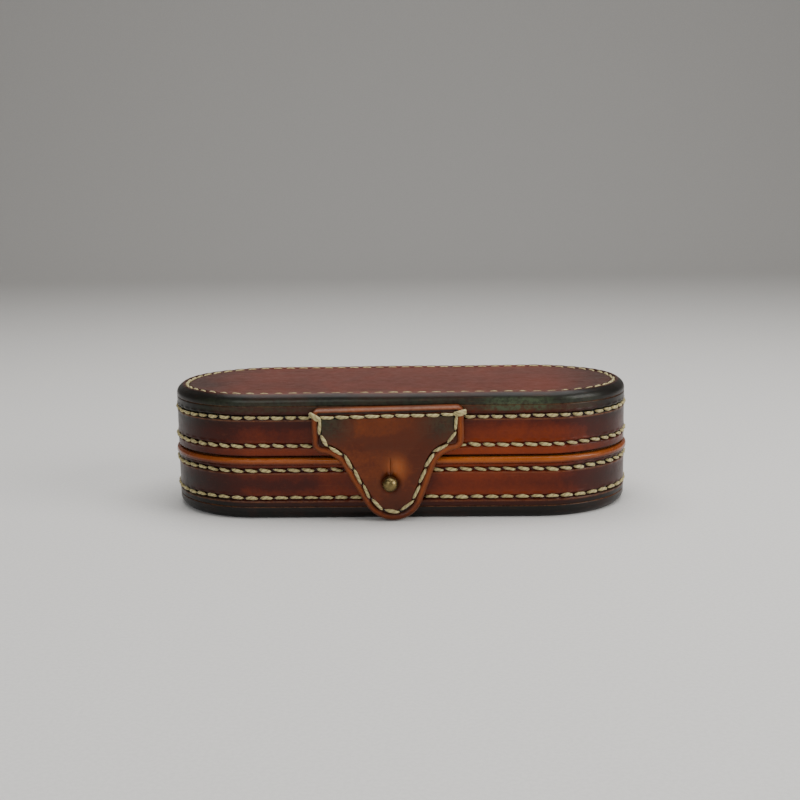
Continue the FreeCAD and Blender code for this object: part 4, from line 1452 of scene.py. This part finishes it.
class CASE_OT_strap(bpy.types.Operator):
    """Make the hinge strap at the back and its seam"""

    bl_idname = "case.strap"
    bl_label = "Hinge strap"

    def execute(self, context):
        seam = strap_edge(np.full((1, 1), STRAP_INSET))[0]
        length, whole = edge_length(seam)
        count = round(whole / STRAP_STITCH)
        self.leather(length / whole * count)
        self.sew(context.scene.case_sewing, seam, length, whole, count)
        return {"FINISHED"}

    def leather(self, phase):
        """A cushioned rectangle with a quarter-round edge, its seam pressed in, and a trough with two low
        ridges along the line that it bends on."""
        deep = 0.85 * MM
        alpha = np.linspace(0, np.pi / 2, 8)[:, None]
        flat = np.concatenate([
            np.linspace((STRAP_TOP - STRAP_LOW) / 2, 5 * MM, 12)[:, None],
            np.linspace(4.8 * MM, deep, 26)[:, None],
        ])
        inset = np.concatenate([flat, deep * (1 - np.sin(alpha))[1:]])
        drop = np.concatenate([0 * flat, deep * (1 - np.cos(alpha))[1:]])
        edge = strap_edge(inset)
        x, z = edge[..., 0], edge[..., 1]
        press = pulled_in(inset - STRAP_INSET, phase) - 0.12 * MM * hill(inset, 1.5 * MM, 0.22 * MM)
        hinge_z = (MOUTH + LID_EDGE) / 2
        bend = -0.22 * MM * hill(z, hinge_z, 1.3 * MM)
        bend = bend + 0.10 * MM * hill(np.abs(z - hinge_z), 3.0 * MM, 1.2 * MM)
        wear = 0.08 * MM * np.sin(x / (11 * MM)) * np.sin(z / (5 * MM))
        y = STRAP_OUT - drop + press + (bend + wear) * smooth(inset, 0, 3 * MM)
        outer = np.stack([x, y, z], -1)
        side = np.stack([x[-1], np.full_like(x[-1], STRAP_IN + 0.3 * MM), z[-1]], -1)[None]
        back = np.stack([x, np.full_like(x, STRAP_IN), z], -1)[::3][::-1]
        grid = np.concatenate([outer, side, back])
        # The edge is burnished darker, and painted shade lies in the seam's channel.
        shade = 0.34 + 0.40 * hill(inset, 0, 1.1 * MM) + 0.35 * hill(inset, STRAP_INSET, 0.8 * MM)
        # Painted shade in the trough along the bend.
        shade = shade + 0.22 * hill(z, hinge_z, 1.6 * MM)
        shade = np.concatenate([shade + 0 * x, np.full((len(grid) - len(outer), x.shape[1]), 0.5)])
        piece = make_grid("hinge_strap", grid, layers={"shade": shade, "raw_and_lit": 0 * shade})
        replaced = ["hinge_leaf_base", "hinge_leaf_lid", "hinge_fold"]
        dress(piece, MATERIALS["strap"], None, replaced)
        self.across_hinge(piece)

    def sew(self, sewing, seam, length, whole, count):
        """Stitches between holes at even steps round the seam."""
        stops = np.arange(count + 1) * whole / count
        closed = np.concatenate([seam, seam[:1]])
        reach = np.concatenate([length, [whole]])
        holes = np.stack([np.interp(stops, reach, closed[:, k]) for k in range(2)], -1)
        centre, step = (holes[1:] + holes[:-1]) / 2, holes[1:] - holes[:-1]
        span = np.linalg.norm(step, axis=1)
        point = np.stack([centre[:, 0], np.full(count, STRAP_OUT), centre[:, 1]], -1)
        along = np.stack([step[:, 0], 0 * span, step[:, 1]], -1) / span[:, None]
        out = np.broadcast_to([0.0, 1.0, 0.0], point.shape)
        rings_at, uv = strands(
            point, along, out, sewing.thread_diameter, span[:, None] - 0.1 * MM, 0.28, 0.0, 61
        )
        piece = make_stitches("stitches_hinge", rings_at, uv)
        replaced = ["hinge_stitching_base", "hinge_stitching_lid"]
        dress(piece, MATERIALS["thread"], None, replaced)
        self.across_hinge(piece)

    def across_hinge(self, piece):
        """Bakes a piece's placement into its points."""
        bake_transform(piece)


# Linings and pads -----------------------------------------------------------------------------------

class CASE_OT_linings(bpy.types.Operator):
    """Line the walls with suede"""

    bl_idname = "case.linings"
    bl_label = "Linings"

    def execute(self, context):
        for name, node, body in (("base_suede", "base_lining", "base"), ("lid_suede", "lid_lining", "lid")):
            lo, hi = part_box(node)
            outer, thick = hi.y, 0.8 * MM
            edge = hi.z if body == "base" else lo.z
            far = lo.z if body == "base" else hi.z
            nose = edge - math.copysign(thick / 2, edge - far)
            turn = np.linspace(0, np.pi, 9)[:, None]
            profile = np.concatenate([
                line(outer, far, outer, nose, 5)[:-1],
                np.concatenate([outer - thick / 2 + thick / 2 * np.cos(turn),
                                nose + (edge - nose) * np.sin(turn)], 1),
                line(outer - thick, nose, outer - thick, far, 16)[1:],
            ])
            half = profile[:, :1] + 0 * TURN
            soft = (profile[:, :1] < outer - 0.6 * thick) * 0.10 * MM
            half = half + soft * ripple(TURN, 71, (4, 9, 15, 23)) * smooth(
                np.abs(profile[:, 1:] - edge), 0, 3 * MM
            )
            piece = make_grid(name, carried(half, profile[:, 1:] + 0 * TURN), wrap_rows=True)
            dress(piece, MATERIALS["suede"], body, [node])
        return {"FINISHED"}


PAD_COLUMN_STEP = 10                                # the pads take one in ten of the case's columns
PAD_PRESSURE = 4.0
PAD_SIDEWAYS = 0.25                                 # share of a pad's swelling that goes sideways
PAD_CELL = 1.3 * MM


def pad_grid(half, z_flat, z_crown, edge):
    """A flat pad: the round-ended outline shrunk towards its spine, with its face raised to a crown and
    its edge rounded as an ellipse."""
    angle = np.linspace(0.1, 1, 8)[:, None] * np.pi / 2
    width = np.concatenate([np.linspace(0, half - edge, 9)[:, None], half - edge + edge * np.sin(angle)])
    rise = np.concatenate([np.ones((9, 1)), np.cos(angle)])
    top = carried(width, z_flat + (z_crown - z_flat) * rise)
    whole = np.concatenate([top, carried(width[::-1], np.full_like(width, z_flat))])
    return whole[:, ::PAD_COLUMN_STEP]


def swell(piece, sewing, fixed_z, sign):
    """Fills a pad by cloth simulation: the mesh is rebuilt in even cells, blown up a little with no
    gravity, and each point may move only so far, and never through the board that the pad lies on."""
    context = bpy.context
    context.view_layer.objects.active = piece
    for other in context.selected_objects:
        other.select_set(False)
    piece.select_set(True)
    remesh = piece.modifiers.new("cells", "REMESH")
    remesh.mode, remesh.voxel_size = "VOXEL", PAD_CELL
    bpy.ops.object.modifier_apply(modifier=remesh.name)
    count = len(piece.data.vertices)
    rest = np.empty(count * 3)
    piece.data.vertices.foreach_get("co", rest)
    rest = rest.reshape(-1, 3)
    cloth = piece.modifiers.new("fill", "CLOTH")
    cloth.settings.use_pressure = True
    cloth.settings.uniform_pressure_force = PAD_PRESSURE
    cloth.settings.effector_weights.gravity = 0.0
    scene = context.scene
    scene.frame_start, scene.frame_end = 1, sewing.pad_frames
    for step in range(1, sewing.pad_frames + 1):
        scene.frame_set(step)
    bpy.ops.object.modifier_apply(modifier=cloth.name)
    moved = np.empty(count * 3)
    piece.data.vertices.foreach_get("co", moved)
    shift = moved.reshape(-1, 3) - rest
    size = np.linalg.norm(shift, axis=1, keepdims=True)
    shift *= np.minimum(1, sewing.pad_rise / np.maximum(size, 1e-9))
    shift[:, :2] *= PAD_SIDEWAYS
    final = rest + shift
    keep = np.maximum if sign > 0 else np.minimum
    final[:, 2] = keep(final[:, 2], fixed_z)
    piece.data.vertices.foreach_set("co", final.ravel())
    piece.data.update()
    scene.frame_set(1)


class CASE_OT_pads(bpy.types.Operator):
    """Make the soft pads on the floor and under the top"""

    bl_idname = "case.pads"
    bl_label = "Pads"

    def execute(self, context):
        sewing = context.scene.case_sewing
        pads = ("base_cushion", "base_pad", "base", 1), ("lid_cushion", "lid_pad", "lid", -1)
        for name, node, body, sign in pads:
            lo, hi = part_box(node)
            flat = lo.z if sign > 0 else hi.z
            crown = flat + sign * (hi.z - lo.z - 0.7 * sewing.pad_rise)
            piece = make_grid(name, pad_grid(hi.y - 0.25 * MM, flat, crown, 0.9 * MM))
            swell(piece, sewing, flat, sign)
            for face in piece.data.polygons:
                face.use_smooth = True
            smoothing = piece.modifiers.new("soft", "SUBSURF")
            smoothing.levels = smoothing.render_levels = 1
            dress(piece, MATERIALS["suede"], body, [node])
        return {"FINISHED"}


# Carried-over parts ---------------------------------------------------------------------------------

class CASE_OT_inner_parts(bpy.types.Operator):
    """Give the shells, boards, screw and washer their materials"""

    bl_idname = "case.inner_parts"
    bl_label = "Inner parts"

    def execute(self, context):
        finishes = {
            "base_shell": "shell", "lid_shell": "shell", "base_bottom_board": "board",
            "lid_top_board": "board", "stud_screw": "brass", "stud_washer": "brass",
        }
        for node, finish in finishes.items():
            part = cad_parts[node]
            part.data.materials.clear()
            part.data.materials.append(MATERIALS[finish])
        return {"FINISHED"}


# Stage ----------------------------------------------------------------------------------------------

CAMERA_DISTANCE = 0.504
CAMERA_AZIMUTH = math.radians(2.0)
CAMERA_ELEVATION = math.radians(11.7)
CAMERA_LENS = 59.5
CAMERA_ROLL = math.radians(-0.9)
CAMERA_SEAT = Vector((0.0, 0.0, 22 * MM))           # its distance and angles start here
CAMERA_AIM = Vector((0.0, 0.0, 37 * MM))
LAMPS = (                                           # name, place, size, power, colour
    ("overhead", (0.05, 0.10, 0.75), (0.9, 0.6), 7.0, (1.0, 0.985, 0.96)),
    ("right", (0.75, -0.35, 0.38), (0.5, 0.5), 5.5, (1.0, 0.98, 0.95)),
    ("front", (-0.35, -0.85, 0.45), (0.6, 0.4), 3.0, (0.96, 0.98, 1.0)),
)
SKY_COLOR = (0.64, 0.61, 0.57, 1)
SKY_STRENGTH = 0.28


class CASE_OT_stage(bpy.types.Operator):
    """Set the floor, the lights and the camera"""

    bl_idname = "case.stage"
    bl_label = "Stage"

    def execute(self, context):
        self.floor(context)
        for lamp in LAMPS:
            self.lamp(*lamp)
        world = bpy.data.worlds.new("Studio")
        world.use_nodes = True
        sky = world.node_tree.nodes["Background"]
        sky.inputs["Color"].default_value = SKY_COLOR
        sky.inputs["Strength"].default_value = SKY_STRENGTH
        context.scene.world = world
        self.camera(context)
        return {"FINISHED"}

    def floor(self, context):
        """A table top that curves up into a backdrop: flat, then a quarter turn, then upright."""
        bend = np.linspace(0, np.pi / 2, 14)
        y = np.concatenate([[-3.0], 1.0 + 0.5 * np.sin(bend), [1.5]])
        z = np.concatenate([[0.0], 0.5 * (1 - np.cos(bend)), [2.6]])
        x = np.linspace(-3.0, 3.0, 2)
        grid = np.stack(np.broadcast_arrays(x[None, :], y[:, None], z[:, None] - 0.00002), -1)
        piece = make_grid("floor", grid, wrap_columns=False)
        if piece.data.polygons[0].normal.z < 0:
            piece.data.flip_normals()
        look = context.scene.case_colors
        material, build, surface = shader("Pale table", Specular_IOR_Level=0.3)
        place = build.add("ShaderNodeTexCoord").outputs["Object"]
        grain = build.noise(place, 900.0, 3.0)
        tint = tuple(c * 0.95 for c in look.floor)
        color = build.blend(build.remap(grain, 0.35, 0.65), rgba(look.floor), rgba(tint))
        build.tree.links.new(color, surface.inputs["Base Color"])
        build.tree.links.new(build.remap(grain, 0.3, 0.7, 0.55, 0.7), surface.inputs["Roughness"])
        piece.data.materials.append(material)
        piece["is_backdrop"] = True

    def lamp(self, name, place, size, power, color):
        """A soft rectangular lamp that faces the middle of the case."""
        data = bpy.data.lights.new(name, "AREA")
        data.shape, data.size, data.size_y, data.energy, data.color = "RECTANGLE", *size, power, color
        lamp = bpy.data.objects.new(name, data)
        bpy.context.scene.collection.objects.link(lamp)
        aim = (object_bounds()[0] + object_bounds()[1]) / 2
        lamp.location = place
        lamp.rotation_euler = (aim - lamp.location).to_track_quat("-Z", "Y").to_euler()

    def camera(self, context):
        """Stands at its distance and angles from the middle of the case, and looks at a point a little
        higher, with a slight roll."""
        data = bpy.data.cameras.new("camera")
        data.lens, data.clip_start, data.clip_end = CAMERA_LENS, 0.01, 20.0
        camera = bpy.data.objects.new("camera", data)
        context.scene.collection.objects.link(camera)
        level = math.cos(CAMERA_ELEVATION)
        back = Vector((
            math.sin(CAMERA_AZIMUTH) * level, -math.cos(CAMERA_AZIMUTH) * level, math.sin(CAMERA_ELEVATION)
        ))
        camera.location = CAMERA_SEAT + back * CAMERA_DISTANCE
        turned = (CAMERA_AIM - camera.location).to_track_quat("-Z", "Y").to_matrix()
        camera.rotation_euler = (turned @ Matrix.Rotation(CAMERA_ROLL, 3, "Z")).to_euler()
        context.scene.camera = camera


# Add-on ---------------------------------------------------------------------------------------------

OPERATORS = (
    CASE_OT_stage, CASE_OT_panels, CASE_OT_walls, CASE_OT_rim, CASE_OT_stitches, CASE_OT_flap,
    CASE_OT_stud, CASE_OT_strap, CASE_OT_linings, CASE_OT_pads, CASE_OT_inner_parts,
)


class CASE_PT_sidebar(bpy.types.Panel):
    """The case's settings and its pieces"""

    bl_idname = "CASE_PT_sidebar"
    bl_label = "Eyeglasses case"
    bl_space_type = "VIEW_3D"
    bl_region_type = "UI"
    bl_category = "Case"

    def draw(self, context):
        for settings in (context.scene.case_colors, context.scene.case_sewing):
            box = self.layout.box()
            for name in settings.bl_rna.properties.keys():
                if name not in ("rna_type", "name"):
                    box.prop(settings, name)
        for operator in OPERATORS:
            self.layout.operator(operator.bl_idname)


CLASSES = (CaseColors, CaseSewing, *OPERATORS, CASE_PT_sidebar)


def register():
    for item in CLASSES:
        bpy.utils.register_class(item)
    bpy.types.Scene.case_colors = PointerProperty(type=CaseColors)
    bpy.types.Scene.case_sewing = PointerProperty(type=CaseSewing)


def unregister():
    del bpy.types.Scene.case_colors
    del bpy.types.Scene.case_sewing
    for item in reversed(CLASSES):
        bpy.utils.unregister_class(item)


def main():
    register()
    make_materials(bpy.context.scene.case_colors)
    for operator in OPERATORS:
        group, name = operator.bl_idname.split(".")
        getattr(getattr(bpy.ops, group), name)()


if __name__ == "__main__":
    main()
